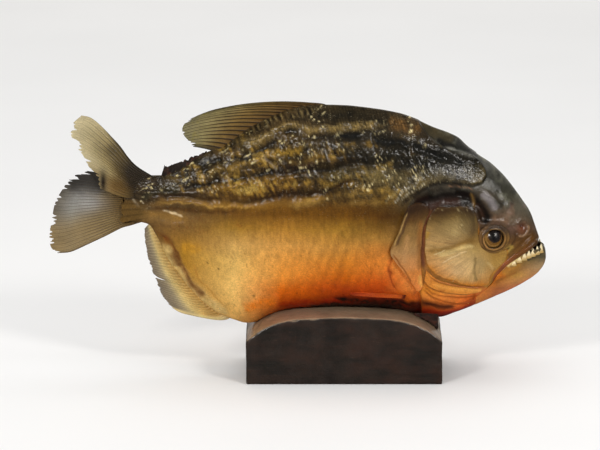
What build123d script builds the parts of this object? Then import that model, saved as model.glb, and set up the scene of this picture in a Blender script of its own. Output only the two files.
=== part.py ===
"""A dried, varnished piranha mounted on a dark wooden block with an arched top.

Frame: millimetres, +Z up, origin at the centre of the block's underside.
+X points to the fish's snout, -Y to the fish's right flank (the show side).
"""
import os
from math import cos, radians, sin, sqrt

from build123d import *

os.makedirs("parts", exist_ok=True)

# ---------------------------------------------------------------- dimensions
# wooden block
base_length = 100.0
base_depth = 50.0
crown_height = 35.3          # middle of the arch
end_height = 22.4            # where the arch meets the end faces
crown_radius = 300.0         # shallow middle of the arch
shoulder_x = 25.0            # where the shallow middle meets the round shoulders

# fish: stations along the body as (x, back height, belly height, half width)
stations = (
    (-107.0, 100.0, 80.5, 3.0),
    (-99.0, 103.4, 78.0, 4.8),
    (-90.0, 105.6, 60.5, 7.2),
    (-80.0, 110.4, 46.0, 9.4),
    (-68.0, 116.4, 33.8, 12.0),
    (-54.0, 124.0, 27.2, 14.6),
    (-38.0, 133.6, 28.6, 16.8),
    (-20.0, 139.6, 32.2, 18.6),
    (0.0, 140.2, 33.2, 19.6),
    (22.0, 137.2, 32.6, 20.0),
    (42.0, 130.2, 29.6, 19.8),
    (58.0, 122.4, 32.4, 18.8),
    (72.0, 111.8, 38.2, 16.8),
    (84.0, 100.4, 43.2, 13.6),
    (93.0, 88.0, 48.0, 10.2),
    (99.4, 74.0, 53.6, 6.6),
    (103.4, 64.6, 58.6, 2.6),
)
skin_thickness = 1.6         # skin, gill covers and cheek plates
tail_plug = 4.0              # the filling stops this far before the tail end

# glass eyes
eye_x, eye_z = 75.8, 74.3
eye_radius = 6.2
eye_bulge = 1.9              # how far the eye stands proud of its ring
eye_ring_radius = 7.5
eye_ring_depth = 4.5

# fins
fin_thickness = 1.4
tail_fin_thickness = 1.3
pectoral_thickness = 1.2

# teeth
tooth_width = 2.3
tooth_height = 2.7
tooth_thickness = 0.9
teeth_per_side = 7
first_tooth = 0.36           # share of the jaw rim, corner to tip
last_tooth = 0.84
back_tooth_turn = 18.0       # degrees from facing straight sideways
front_tooth_turn = 55.0

# screws from below into a batten inside the belly
screw_x = 22.0               # distance of each screw from the middle
screw_shank = 3.5
screw_head = 7.0
screw_head_height = 2.4
screw_length = 42.0          # head included
counterbore_diameter = 9.0
counterbore_depth = 8.0
clearance_diameter = 4.0
batten_length = 62.0
batten_width = 12.0
batten_height = 14.0
batten_bottom = 39.0

far = 200.0                  # reach of a cutting tool past the fish


# ------------------------------------------------------------------- helpers
def fish_form(growth):
    """The whole fish as one closed loft, every section grown by growth."""
    with BuildPart() as form:
        for x, back, belly, half_width in stations:
            with BuildSketch(Plane.YZ.offset(x)):
                with Locations((0, (back + belly) / 2)):
                    Ellipse(half_width + growth, (back - belly) / 2 + growth)
        loft()
    return form.part


def side_prism(points, y_from=-far, y_to=far, smooth=False):
    """A side-view outline in X and Z, run across the fish from y_from to y_to."""
    with BuildPart() as prism:
        with BuildSketch(Plane.XZ.offset(-y_to)):
            with BuildLine():
                if smooth:
                    Spline(*points, periodic=True)
                else:
                    Polyline(*points, close=True)
            make_face()
        extrude(amount=y_to - y_from)
    return prism.part


def common(first, *others):
    """What all the given solids share."""
    with BuildPart() as shared:
        add(first)
        for other in others:
            add(other, mode=Mode.INTERSECT)
    return shared.part


def without(first, *others):
    """The first solid with the others cut away."""
    with BuildPart() as rest:
        add(first)
        for other in others:
            add(other, mode=Mode.SUBTRACT)
    return rest.part


def mirrored(shape):
    """The same piece on the other flank."""
    with BuildPart() as other_side:
        add(mirror(shape, about=Plane.XZ, mode=Mode.PRIVATE))
    return other_side.part


def save(shape, name):
    """Label one finished piece and write its STEP file."""
    shape.label = name
    export_step(shape, f"parts/{name}.step")


# -------------------------------------------------------------- wooden block
shoulder_z = sqrt(crown_radius**2 - shoulder_x**2) - crown_radius + crown_height
half_length = base_length / 2

with BuildPart() as base_block:
    with BuildSketch(Plane.XZ):
        with BuildLine():
            crown = ThreePointArc((-shoulder_x, shoulder_z), (0, crown_height), (shoulder_x, shoulder_z))
            right_shoulder = TangentArc((shoulder_x, shoulder_z), (half_length, end_height), tangent=crown % 1)
            mirror(right_shoulder, about=Plane.YZ)
            Polyline(
                (half_length, end_height),
                (half_length, 0),
                (-half_length, 0),
                (-half_length, end_height),
            )
        make_face()
    extrude(amount=base_depth / 2, both=True)
    solid_block = base_block.part
    # two counterbored screw holes from below
    with Locations(Plane((0, 0, 0), x_dir=(1, 0, 0), z_dir=(0, 0, -1))):
        with Locations((-screw_x, 0), (screw_x, 0)):
            CounterBoreHole(clearance_diameter / 2, counterbore_diameter / 2, counterbore_depth)
save(base_block.part, "base_block")

# -------------------------------------------------------------------- screws
with BuildPart() as base_screws:
    with BuildSketch(Plane.XY.offset(counterbore_depth - screw_head_height)):
        with Locations((-screw_x, 0), (screw_x, 0)):
            Circle(screw_head / 2)
    extrude(amount=screw_head_height)
    with BuildSketch(Plane.XY.offset(counterbore_depth)):
        with Locations((-screw_x, 0), (screw_x, 0)):
            Circle(screw_shank / 2)
    extrude(amount=screw_length - screw_head_height)
    # cross recess in each head
    with BuildSketch(Plane.XY.offset(counterbore_depth - screw_head_height)):
        with Locations((-screw_x, 0), (screw_x, 0)):
            Rectangle(3.6, 0.9)
            Rectangle(0.9, 3.6)
    extrude(amount=1.4, mode=Mode.SUBTRACT)
save(base_screws.part, "base_screws")

# --------------------------------------------------------- shared fish forms
whole_fish = without(fish_form(0), solid_block)
inner_fish = fish_form(-skin_thickness)
grown_fish = fish_form(pectoral_thickness)
skin_layer = without(whole_fish, inner_fish)

# everything in front of this line belongs to the head; behind it is the trunk
head_line = (
    (56.0, 132.0), (62.0, 121.0), (68.0, 114.0), (71.4, 107.0), (68.0, 102.4), (60.0, 102.0),
    (52.0, 103.0), (42.0, 98.0), (32.2, 90.1), (28.0, 77.6), (24.0, 68.0), (29.9, 58.9), (38.5, 47.7),
    (39.5, 40.0), (39.5, 20.0), (115.0, 20.0), (115.0, 132.0),
)
head_zone = side_prism(head_line)

# --------------------------------------------------------------- trunk parts
# the filling stops short of the tail end and leaves the skin closed there
tail_stop = stations[0][0] + tail_plug
tail_end = side_prism(((tail_stop - far, 0), (tail_stop, 0), (tail_stop, far), (tail_stop - far, far)))
stuffed_space = without(inner_fish, tail_end)

with BuildPart() as trunk_skin:
    add(whole_fish)
    add(head_zone, mode=Mode.SUBTRACT)
    add(stuffed_space, mode=Mode.SUBTRACT)
    add(base_screws.part, mode=Mode.SUBTRACT)
save(trunk_skin.part, "trunk_skin")

with BuildPart() as mounting_batten:
    with BuildSketch(Plane.XY.offset(batten_bottom)):
        RectangleRounded(batten_length, batten_width, 2)
    extrude(amount=batten_height)
    add(base_screws.part, mode=Mode.SUBTRACT)
save(mounting_batten.part, "mounting_batten")

with BuildPart() as body_filling:
    add(stuffed_space)
    add(solid_block, mode=Mode.SUBTRACT)
    add(head_zone, mode=Mode.SUBTRACT)
    add(mounting_batten.part, mode=Mode.SUBTRACT)
    add(base_screws.part, mode=Mode.SUBTRACT)
save(body_filling.part, "body_filling")

# ---------------------------------------------------------------------- eyes
# the eye rings' flat face, just inside the head's half width there
eye_front = 15.1
with BuildPart() as eye_right:
    with Locations((eye_x, -(eye_front + eye_bulge - eye_radius), eye_z)):
        Sphere(eye_radius)
save(eye_right.part, "eye_right")
save(mirrored(eye_right.part), "eye_left")

with BuildPart() as eye_ring_right:
    with BuildSketch(Plane.XZ.offset(eye_front + 0.5 - eye_ring_depth)):
        with Locations((eye_x, eye_z)):
            Circle(eye_ring_radius)
    extrude(amount=eye_ring_depth)
    rim = eye_ring_right.faces().sort_by(Axis.Y)[0].edges()
    fillet(rim, 0.9)
    add(eye_right.part, mode=Mode.SUBTRACT)
save(eye_ring_right.part, "eye_ring_right")
save(mirrored(eye_ring_right.part), "eye_ring_left")

# the whole socket that an eye and its ring need
with BuildPart() as socket:
    with BuildSketch(Plane.XZ.offset(eye_front + 0.5 - eye_ring_depth)):
        with Locations((eye_x, eye_z)):
            Circle(eye_ring_radius)
    extrude(amount=far)
    add(eye_right.part)
socket_left = mirrored(socket.part)

# ------------------------------------------------------------ jaws and mouth
lip = ((77.0, 51.6), (83.0, 55.5), (90.3, 60.8), (94.2, 64.0), (97.7, 67.7), (102.0, 73.0))
gum = ((77.0, 51.6), (84.0, 53.9), (91.0, 57.6), (96.0, 61.0), (99.4, 64.2), (104.6, 69.6))

with BuildPart() as mouth_gap:
    with BuildSketch(Plane.XZ):
        with BuildLine():
            upper_edge = Spline(*lip)
            lower_edge = Spline(*gum)
            Line(upper_edge @ 1, lower_edge @ 1)
        make_face()
    extrude(amount=far, both=True)

upper_jaw_zone = side_prism((
    (74.6, 50.6), (77.0, 51.6), (83.0, 55.0), (90.0, 60.0), (97.0, 66.5), (106.0, 76.0),
    (102.0, 79.0), (97.0, 74.4), (91.4, 68.4), (84.4, 62.6), (77.4, 56.6), (73.6, 53.4),
))
lower_jaw_zone = side_prism((
    (74.6, 50.6), (77.0, 51.6), (84.0, 55.0), (91.0, 60.0), (98.0, 66.0), (112.0, 80.0),
    (112.0, 20.0), (66.0, 20.0), (68.0, 38.0), (73.6, 45.4),
))
with BuildPart() as lower_jaw:
    add(whole_fish)
    add(lower_jaw_zone, mode=Mode.INTERSECT)
    add(mouth_gap.part, mode=Mode.SUBTRACT)
    add(upper_jaw_zone, mode=Mode.SUBTRACT)
save(lower_jaw.part, "lower_jaw")

with BuildPart() as upper_jaw:
    add(whole_fish)
    add(upper_jaw_zone, mode=Mode.INTERSECT)
    add(mouth_gap.part, mode=Mode.SUBTRACT)
save(upper_jaw.part, "upper_jaw")


def flank_at(x, z):
    """Half width of the fish at a place on its side, between two stations."""
    for (x0, back0, belly0, half0), (x1, back1, belly1, half1) in zip(stations, stations[1:]):
        if x0 <= x <= x1:
            share = (x - x0) / (x1 - x0)
            back = back0 + share * (back1 - back0)
            belly = belly0 + share * (belly1 - belly0)
            half = half0 + share * (half1 - half0)
            level = (z - (back + belly) / 2) / ((back - belly) / 2)
            return half * sqrt(max(0.0, 1 - level * level))
    return 0.0


def tooth_row(rim_points, inset, points_up):
    """Triangular blades along a jaw rim, both flanks, pointing up or down."""
    with BuildLine(Plane.XZ, mode=Mode.PRIVATE):
        rim_curve = Spline(*rim_points)
    tip = tooth_height if points_up else -tooth_height
    root = -0.3 * tip
    with BuildPart() as row:
        for side in (-1, 1):
            for index in range(teeth_per_side):
                forward = index / (teeth_per_side - 1)
                spot = rim_curve @ (first_tooth + (last_tooth - first_tooth) * forward)
                turn = radians(back_tooth_turn + (front_tooth_turn - back_tooth_turn) * forward)
                outward = Vector(sin(turn), side * cos(turn), 0)
                blade = Plane(
                    origin=(spot.X, side * (flank_at(spot.X, spot.Z) - inset), spot.Z),
                    x_dir=(cos(turn), -side * sin(turn), 0),
                    z_dir=outward,
                )
                up = blade.y_dir.Z
                with BuildSketch(blade):
                    with BuildLine():
                        Polyline(
                            (-tooth_width / 2, up * root),
                            (tooth_width / 2, up * root),
                            (0.2, up * tip),
                            close=True,
                        )
                    make_face()
                extrude(amount=tooth_thickness / 2, both=True)
    return row.part


lower_teeth = without(tooth_row(gum, 1.0, True), lower_jaw.part, upper_jaw.part)
upper_teeth = without(tooth_row(lip, 2.6, False), upper_jaw.part, lower_jaw.part)
save(lower_teeth, "lower_teeth")
save(upper_teeth, "upper_teeth")

# ------------------------------------------------- bone plates on the cheeks
gill_cover_outline = (
    (32.2, 90.1), (28.0, 77.6), (24.0, 68.0), (29.9, 58.9), (38.5, 47.7),
    (40.4, 51.5), (39.4, 60.0), (39.2, 70.0), (40.4, 81.0), (43.0, 91.4), (40.0, 93.0),
)
cheek_outline = (
    (43.6, 88.0), (52.6, 90.7), (62.6, 90.7), (66.4, 86.5), (68.5, 80.0), (69.1, 72.0), (72.0, 68.0),
    (77.3, 67.1), (81.9, 64.0), (80.6, 59.6), (76.0, 55.7), (73.3, 53.6), (73.4, 47.2), (63.9, 49.3),
    (53.7, 51.4), (47.0, 54.0), (42.0, 60.3), (40.6, 66.1), (40.0, 74.0), (41.2, 82.0),
)
preopercle_outline = (
    (41.2, 58.0), (46.4, 52.8), (53.4, 50.2), (63.6, 48.1), (73.0, 46.0), (72.0, 44.6),
    (62.0, 43.8), (51.3, 45.4), (43.7, 48.6), (41.0, 52.0),
)


def cheek_piece(outline):
    """One thin plate of the right flank, cut from the skin layer."""
    zone = side_prism(outline, y_to=0)
    return without(common(skin_layer, zone), socket.part, upper_jaw.part, lower_jaw.part)


gill_cover_right = cheek_piece(gill_cover_outline)
cheek_plate_right = cheek_piece(cheek_outline)
preopercle_right = without(cheek_piece(preopercle_outline), cheek_plate_right, gill_cover_right)
save(gill_cover_right, "gill_cover_right")
save(mirrored(gill_cover_right), "gill_cover_left")
save(cheek_plate_right, "cheek_plate_right")
save(mirrored(cheek_plate_right), "cheek_plate_left")
save(preopercle_right, "preopercle_right")
save(mirrored(preopercle_right), "preopercle_left")
plates = (gill_cover_right, cheek_plate_right, preopercle_right)

# -------------------------------------------------------------------- throat
throat_zone = side_prism((
    (39.5, 20.0), (39.5, 40.0), (38.5, 47.7), (41.2, 51.0), (43.7, 48.4), (51.3, 45.2),
    (62.0, 43.6), (73.6, 45.4), (68.0, 38.0), (66.0, 20.0),
))
with BuildPart() as throat_skin:
    add(skin_layer)
    add(throat_zone, mode=Mode.INTERSECT)
    for plate in plates:
        add(plate, mode=Mode.SUBTRACT)
        add(mirrored(plate), mode=Mode.SUBTRACT)
    add(lower_jaw.part, mode=Mode.SUBTRACT)
save(throat_skin.part, "throat_skin")

# --------------------------------------------------------------------- skull
with BuildPart() as skull:
    add(whole_fish)
    add(head_zone, mode=Mode.INTERSECT)
    for piece in (mouth_gap.part, upper_jaw.part, lower_jaw.part, throat_skin.part, socket.part, socket_left):
        add(piece, mode=Mode.SUBTRACT)
    for plate in plates:
        add(plate, mode=Mode.SUBTRACT)
        add(mirrored(plate), mode=Mode.SUBTRACT)
save(skull.part, "skull")

# ---------------------------------------------------------------------- fins
dorsal_outline = (
    (-10.0, 138.0), (-9.6, 140.4), (-17.7, 141.4), (-29.8, 141.9), (-42.0, 141.5), (-54.0, 140.2),
    (-66.2, 137.7), (-74.3, 134.8), (-80.6, 131.0), (-81.7, 126.6), (-81.4, 123.2), (-74.4, 119.6),
    (-77.0, 118.2), (-69.0, 116.6), (-64.0, 112.0), (-40.0, 126.0),
)
adipose_outline = (
    (-93.6, 101.0), (-92.6, 104.4), (-90.8, 110.2), (-87.0, 109.6), (-82.5, 111.0), (-77.0, 114.3),
    (-70.0, 116.2), (-70.0, 111.0),
)
anal_outline = (
    (-57.0, 32.0), (-59.6, 27.2), (-64.4, 27.2), (-70.6, 28.2), (-77.1, 29.6), (-83.7, 31.3),
    (-88.2, 33.3), (-91.3, 36.8), (-93.6, 41.0), (-95.2, 45.4), (-97.3, 50.3), (-94.0, 53.0),
    (-97.4, 52.4), (-99.2, 56.2), (-100.6, 61.2), (-101.2, 67.0), (-102.0, 74.5), (-99.6, 79.0),
    (-88.0, 66.0), (-76.0, 48.0), (-62.0, 34.0),
)
tail_upper_outline = (
    (-96.0, 103.0), (-104.9, 108.3), (-109.5, 113.1), (-113.6, 119.0), (-118.2, 124.2), (-123.3, 129.2),
    (-128.4, 133.4), (-132.5, 134.8), (-138.6, 129.0), (-136.8, 124.2), (-138.2, 121.0), (-136.4, 117.8),
    (-130.8, 111.6), (-129.8, 106.7), (-126.2, 106.0), (-125.2, 96.9), (-112.0, 92.0), (-102.0, 91.0),
)
tail_lower_outline = (
    (-102.0, 93.0), (-114.0, 100.0), (-126.0, 104.0), (-134.1, 104.4), (-139.3, 101.6), (-143.6, 95.4),
    (-146.2, 91.6), (-148.7, 82.6), (-150.2, 71.9), (-149.3, 65.4), (-147.0, 62.7), (-139.9, 63.3),
    (-132.0, 66.5), (-122.0, 71.3), (-113.7, 75.6), (-108.4, 77.2), (-98.0, 79.4),
)
pectoral_outline = (
    (35.6, 41.4), (30.0, 43.4), (20.0, 45.2), (8.0, 45.4), (-2.0, 44.2), (-3.8, 43.4), (2.0, 42.4),
    (13.0, 41.6), (24.0, 40.4), (33.5, 39.6),
)


def middle_fin(outline, y_from, y_to):
    """A thin fin on the midline, ending where it meets the body."""
    return without(side_prism(outline, y_from, y_to), whole_fish, solid_block)


half_fin = fin_thickness / 2
save(middle_fin(dorsal_outline, -half_fin, half_fin), "dorsal_fin")
save(middle_fin(adipose_outline, -half_fin, half_fin), "adipose_fin")
save(middle_fin(anal_outline, -half_fin, half_fin), "anal_fin")
# the torn upper lobe lies in front of the lower one, seen from the right flank
save(middle_fin(tail_upper_outline, -tail_fin_thickness, 0), "tail_fin_upper")
save(middle_fin(tail_lower_outline, 0, tail_fin_thickness), "tail_fin_lower")

# the pectoral fins are folded back flat against the belly
pectoral_layer = without(grown_fish, fish_form(0), solid_block)
pectoral_fin_right = common(pectoral_layer, side_prism(pectoral_outline, y_to=0))
save(pectoral_fin_right, "pectoral_fin_right")
save(mirrored(pectoral_fin_right), "pectoral_fin_left")

# ------------------------------------------------- filler under the throat
with BuildPart() as filler_bed:
    with BuildSketch(Plane.XZ):
        with BuildLine():
            Polyline((36.0, 28.0), (48.4, 20.0), (48.4, 33.0), (36.0, 33.0), close=True)
        make_face()
    extrude(amount=8.0, both=True)
    add(solid_block, mode=Mode.SUBTRACT)
    add(fish_form(0), mode=Mode.SUBTRACT)
save(filler_bed.part, "filler_bed")
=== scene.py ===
"""Looks of the mounted piranha: dried, varnished fish on a dark wooden block.

The shape functions work in millimetres in the part's own frame (+X snout, +Z up,
-Y the shown right flank) and meshes are written in metres.
"""
import math

import bpy
import numpy as np
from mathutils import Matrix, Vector


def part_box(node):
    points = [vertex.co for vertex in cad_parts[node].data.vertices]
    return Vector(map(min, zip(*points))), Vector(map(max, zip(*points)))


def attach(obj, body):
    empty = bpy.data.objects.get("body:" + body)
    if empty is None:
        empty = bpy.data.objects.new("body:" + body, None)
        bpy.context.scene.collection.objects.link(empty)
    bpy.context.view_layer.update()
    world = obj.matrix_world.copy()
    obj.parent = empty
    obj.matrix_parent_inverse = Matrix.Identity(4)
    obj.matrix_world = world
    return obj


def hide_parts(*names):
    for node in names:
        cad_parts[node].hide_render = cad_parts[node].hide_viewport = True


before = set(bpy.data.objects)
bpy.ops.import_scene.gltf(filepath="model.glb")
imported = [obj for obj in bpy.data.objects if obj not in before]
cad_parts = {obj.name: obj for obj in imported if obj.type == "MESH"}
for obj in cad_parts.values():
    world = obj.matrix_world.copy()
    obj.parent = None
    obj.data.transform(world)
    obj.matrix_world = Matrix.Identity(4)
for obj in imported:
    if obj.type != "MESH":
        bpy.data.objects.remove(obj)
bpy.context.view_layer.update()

MM = 0.001
RIGHT, LEFT = -1.0, 1.0          # sign of Y on each flank
HALF_TURN = math.pi
FULL_TURN = 2 * math.pi


def node_box(name):
    """A CAD node's lowest and highest corners in millimetres."""
    low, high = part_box(name)
    return np.array(low) / MM, np.array(high) / MM


skin_low = node_box("trunk_skin")[0]
block_low, block_high = node_box("base_block")
eye_low, eye_high = node_box("eye_right")
TAIL_X = skin_low[0] - 6.0       # the skin thins out over the root of the tail fin
EYE = np.array([(eye_low[0] + eye_high[0]) / 2, (eye_low[2] + eye_high[2]) / 2])
EYE_RADIUS = (eye_high[0] - eye_low[0]) / 2


# ------------------------------------------------------------ small numerics
def curve(points, x):
    """Smooth monotone curve through (x, value) points, evaluated at x."""
    px = np.array([p[0] for p in points], float)
    py = np.array([p[1] for p in points], float)
    h = np.diff(px)
    slope = np.diff(py) / h
    tangent = np.zeros_like(py)
    same_way = slope[1:] * slope[:-1] > 0
    w1 = 2 * h[1:] + h[:-1]
    w2 = h[1:] + 2 * h[:-1]
    with np.errstate(divide="ignore", invalid="ignore"):
        inner = (w1 + w2) / (w1 / slope[:-1] + w2 / slope[1:])
    tangent[1:-1] = np.where(same_way, inner, 0)
    tangent[0], tangent[-1] = slope[0], slope[-1]
    x = np.clip(np.asarray(x, float), px[0], px[-1])
    i = np.clip(np.searchsorted(px, x) - 1, 0, len(h) - 1)
    t = (x - px[i]) / h[i]
    return (
        (2 * t**3 - 3 * t**2 + 1) * py[i]
        + (t**3 - 2 * t**2 + t) * h[i] * tangent[i]
        + (3 * t**2 - 2 * t**3) * py[i + 1]
        + (t**3 - t**2) * h[i] * tangent[i + 1]
    )


def smooth(low, high, x):
    """0 below low, 1 above high, smooth between."""
    t = np.clip((np.asarray(x, float) - low) / (high - low), 0, 1)
    return t * t * (3 - 2 * t)


lattice = np.random.RandomState(7).rand(8, 256, 256)


def noise(x, z, cell, seed=0):
    """Smooth value noise from -1 to 1 with features about cell millimetres wide."""
    gx, gz = np.asarray(x, float) / cell + 31.7 * seed, np.asarray(z, float) / cell + 17.3 * seed
    ix, iz = np.floor(gx).astype(int), np.floor(gz).astype(int)
    fx, fz = gx - ix, gz - iz
    fx, fz = fx * fx * (3 - 2 * fx), fz * fz * (3 - 2 * fz)
    grid = lattice[seed % 8]
    a, b = grid[ix % 256, iz % 256], grid[(ix + 1) % 256, iz % 256]
    c, d = grid[ix % 256, (iz + 1) % 256], grid[(ix + 1) % 256, (iz + 1) % 256]
    return 2 * ((a * (1 - fx) + b * fx) * (1 - fz) + (c * (1 - fx) + d * fx) * fz) - 1


def fractal(x, z, cell, seed=0, octaves=4):
    """Several layers of noise, each half as wide and half as strong."""
    total, weight = 0.0, 0.0
    for k in range(octaves):
        total = total + noise(x, z, cell / 2**k, seed + 3 * k) / 2**k
        weight += 1 / 2**k
    return total / weight


def side_seed(side):
    """Noise seed of a flank, so that the two sides aren't mirror images."""
    return 0 if side == RIGHT else 5


def wander(x, z, by, cell, seed=0):
    """Places shifted a little by noise, so that lines laid there wander."""
    return x + by * fractal(x, z, cell, seed + 2), z + by * fractal(x + 30, z, cell, seed + 3)


def unit(vectors):
    """Vectors of length one."""
    return vectors / np.maximum(np.linalg.norm(vectors, axis=-1, keepdims=True), 1e-9)


def rounded_path(points, steps=5):
    """A Catmull-Rom path through points."""
    p = np.array(points, float)
    if len(p) < 3:
        return p
    ends = np.vstack([2 * p[0] - p[1], p, 2 * p[-1] - p[-2]])
    out = []
    for i in range(1, len(ends) - 2):
        for t in np.arange(steps) / steps:
            a, b, c, d = ends[i - 1], ends[i], ends[i + 1], ends[i + 2]
            out.append(0.5 * (2 * b + (c - a) * t + (2 * a - 5 * b + 4 * c - d) * t**2
                              + (3 * b - a - 3 * c + d) * t**3))
    out.append(p[-1])
    return np.array(out)


def evenly(path, count, closed=False):
    """A path again, as count evenly spaced points."""
    length = np.concatenate([[0], np.cumsum(np.linalg.norm(np.diff(path, axis=0), axis=1))])
    at = np.linspace(0, length[-1], count, endpoint=not closed)
    return np.stack([np.interp(at, length, path[:, k]) for k in range(path.shape[1])], -1)


def even_path(points, count):
    """A rounded path through points, as count evenly spaced points."""
    return evenly(rounded_path(points, 10), count)


def round_outline(outline, count):
    """A closed outline through points, rounded and evenly spaced."""
    steps = 12
    once_round = slice(steps, steps * (len(outline) + 1) + 1)
    return evenly(rounded_path(outline + outline[:3], steps)[once_round], count, closed=True)


def segment_gap(x, z, a, b):
    """Distance to the segment from a to b, and the share of it passed at the nearest place."""
    d = b - a
    t = np.clip(((x - a[0]) * d[0] + (z - a[1]) * d[1]) / max(d @ d, 1e-9), 0, 1)
    return np.hypot(x - a[0] - t * d[0], z - a[1] - t * d[1]), t


def stroke(x, z, points, width, end_width=None, power=2.0, taper=0.12):
    """Soft line along points: 1 on the line, falling off over width on both sides, thin at its ends."""
    path = rounded_path(points)
    end_width = width if end_width is None else end_width
    reach = 2.6 * max(width, end_width)
    result = np.zeros(np.shape(x))
    low, high = path.min(0) - reach, path.max(0) + reach
    near = (x > low[0]) & (x < high[0]) & (z > low[1]) & (z < high[1])
    if not near.any():
        return result
    best, along = np.full(x[near].shape, 1e9), np.zeros(x[near].shape)
    lengths = np.linalg.norm(np.diff(path, axis=0), axis=1)
    total, done = lengths.sum(), 0.0
    for a, b, length in zip(path[:-1], path[1:], lengths):
        gap, share = segment_gap(x[near], z[near], a, b)
        along = np.where(gap < best, (done + share * length) / total, along)
        best = np.minimum(gap, best)
        done += length
    ends = smooth(0, taper, along) * smooth(0, taper, 1 - along)
    wide = (width + (end_width - width) * along) * (0.25 + 0.75 * ends)
    result[near] = np.exp(-((best / np.maximum(wide, 1e-3)) ** power)) * ends**0.5
    return result


def border_gap(x, z, outline):
    """Distance to a closed outline, positive inside it."""
    path = np.array(outline, float)
    crossing = np.zeros(np.shape(x), bool)
    nearest = np.full(np.shape(x), 1e9)
    for a, b in zip(path, np.roll(path, -1, axis=0)):
        nearest = np.minimum(nearest, segment_gap(x, z, a, b)[0])
        straddles = (a[1] > z) != (b[1] > z)
        with np.errstate(divide="ignore", invalid="ignore"):
            hit = (b[0] - a[0]) * (z - a[1]) / (b[1] - a[1]) + a[0]
        crossing ^= straddles & (x < hit)
    return np.where(crossing, nearest, -nearest)


def spot(x, z, centre, radius):
    """A soft round spot."""
    rx, rz = radius if isinstance(radius, tuple) else (radius, radius)
    return np.exp(-(((x - centre[0]) / rx) ** 2 + ((z - centre[1]) / rz) ** 2))


def raise_strokes(height, x, z, strokes, amount=1.0):
    """Adds strokes of (points, width, lift) to a relief: + is a ridge and - a groove."""
    for points, width, lift in strokes:
        height = height + lift * amount * stroke(x, z, points, width)
    return height


# ------------------------------------------------------------ painted colours
def linear(rgb):
    """Display colour, 0 to 255, as the linear colour shaders work in."""
    c = np.array(rgb, float) / 255
    return np.where(c <= 0.04045, c / 12.92, ((c + 0.055) / 1.055) ** 2.4)


def even_colour(rgb, like):
    """One colour at every place of a grid."""
    return np.broadcast_to(linear(rgb), np.shape(like) + (3,))


def lay(colour, *coats):
    """Lays coats of (rgb, amount) over the painted colours, in order."""
    for rgb, amount in coats:
        amount = np.clip(amount, 0, 1)[..., None]
        colour = colour * (1 - amount) + linear(rgb) * amount
    return colour


def lay_strokes(colour, x, z, strokes, amount=1.0, power=2.0):
    """Lays strokes of (points, width, rgb, strength) over the painted colours, in order."""
    for points, width, rgb, strength in strokes:
        colour = lay(colour, (rgb, amount * strength * stroke(x, z, points, width, power=power)))
    return colour


def shade(colour, change):
    """Brightens or darkens the painted colours by a share."""
    return colour * (1 + change)[..., None]


def mix_along(position, *stops):
    """Colour along a line, from (position, rgb) stops."""
    at = [p for p, _ in stops]
    rgb = np.array([linear(c) for _, c in stops])
    return np.stack([np.interp(position, at, rgb[:, k]) for k in range(3)], -1)


def ramps(x, z, columns):
    """Ground colour mixed between upright lines (x, stops up the line)."""
    place = np.interp(x, [c[0] for c in columns], range(len(columns)))
    return sum(mix_along(z, *stops) * np.clip(1 - np.abs(place - k), 0, 1)[..., None]
               for k, (_, stops) in enumerate(columns))


# ---------------------------------------------------------- form of the fish
back_line = (
    (-114, 98.6), (-111, 99.6), (-108, 100.8), (-103, 102.8), (-98.7, 103.6), (-92.7, 103.6),
    (-86, 105.8), (-80, 109.2), (-75, 112.8), (-68, 116.4), (-63, 117.8), (-58, 121.0), (-50, 127.2),
    (-42, 131.8), (-34, 135.6), (-26, 138.6), (-20, 139.8), (-10.9, 140.3), (0, 140.0), (11, 138.9),
    (27, 136.2), (37, 132.6), (45, 128.9), (53, 125.9), (58, 123.4), (62, 119.6), (68, 114.6),
    (74, 110.6), (81, 104.0), (86, 97.8), (91, 90.7), (95, 84.6), (97.2, 78.8), (98.8, 74.0),
    (100.2, 70.2), (101.6, 67.8), (102.8, 65), (103.4, 62.0),
)
belly_line = (
    (-114, 78.6), (-111, 79.0), (-108, 79.6), (-103, 79), (-99.6, 77.8), (-95.1, 70.6), (-90.6, 60.6),
    (-83.5, 50.0), (-75.7, 40.6), (-67.9, 33.4), (-62, 29.9), (-56, 27.6), (-50, 26.0), (-46, 26.4),
    (-40, 29.6), (-33, 32.4), (-22, 34.2), (0, 35.0), (22, 34.2), (34, 32.2), (42, 29.9), (49, 29.3),
    (57.3, 31.9), (65, 34.9), (75, 39.2), (86.7, 44.6), (92.5, 47.8), (97.5, 51.1), (100.6, 54.3),
    (102.6, 57.6), (103.4, 60.8),
)
half_width_line = (
    (-114, 0.4), (-111, 0.6), (-108, 1.2), (-104, 2.6), (-99, 4.6), (-90, 7.2), (-80, 9.4), (-68, 12.0),
    (-54, 14.6), (-38, 16.8), (-20, 18.6), (0, 19.6), (22, 20.0), (42, 19.8), (58, 18.8), (72, 16.8),
    (84, 13.8), (93, 10.6), (99.4, 7.0), (102.2, 4.4), (103.4, 1.6),
)
lip_line = (
    (66, 35.4), (69, 41.6), (72, 46.2), (75.2, 49.5), (77, 53.2), (80, 57.0), (83.0, 59.8), (87, 62.6),
    (90.3, 64.6), (94.2, 67.0), (97.7, 69.6), (99.6, 71.2), (100.2, 71.6),
)
gum_line = (
    (63, 38.0), (68, 42.6), (72, 46.0), (75.2, 49.2), (78, 54.2), (81, 57.6), (84, 60.2), (88, 62.8),
    (91, 64.4), (94, 65.6), (97, 66.4), (99, 67.0), (101.2, 67.4), (102.6, 66.2), (103.4, 63.0),
)
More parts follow.
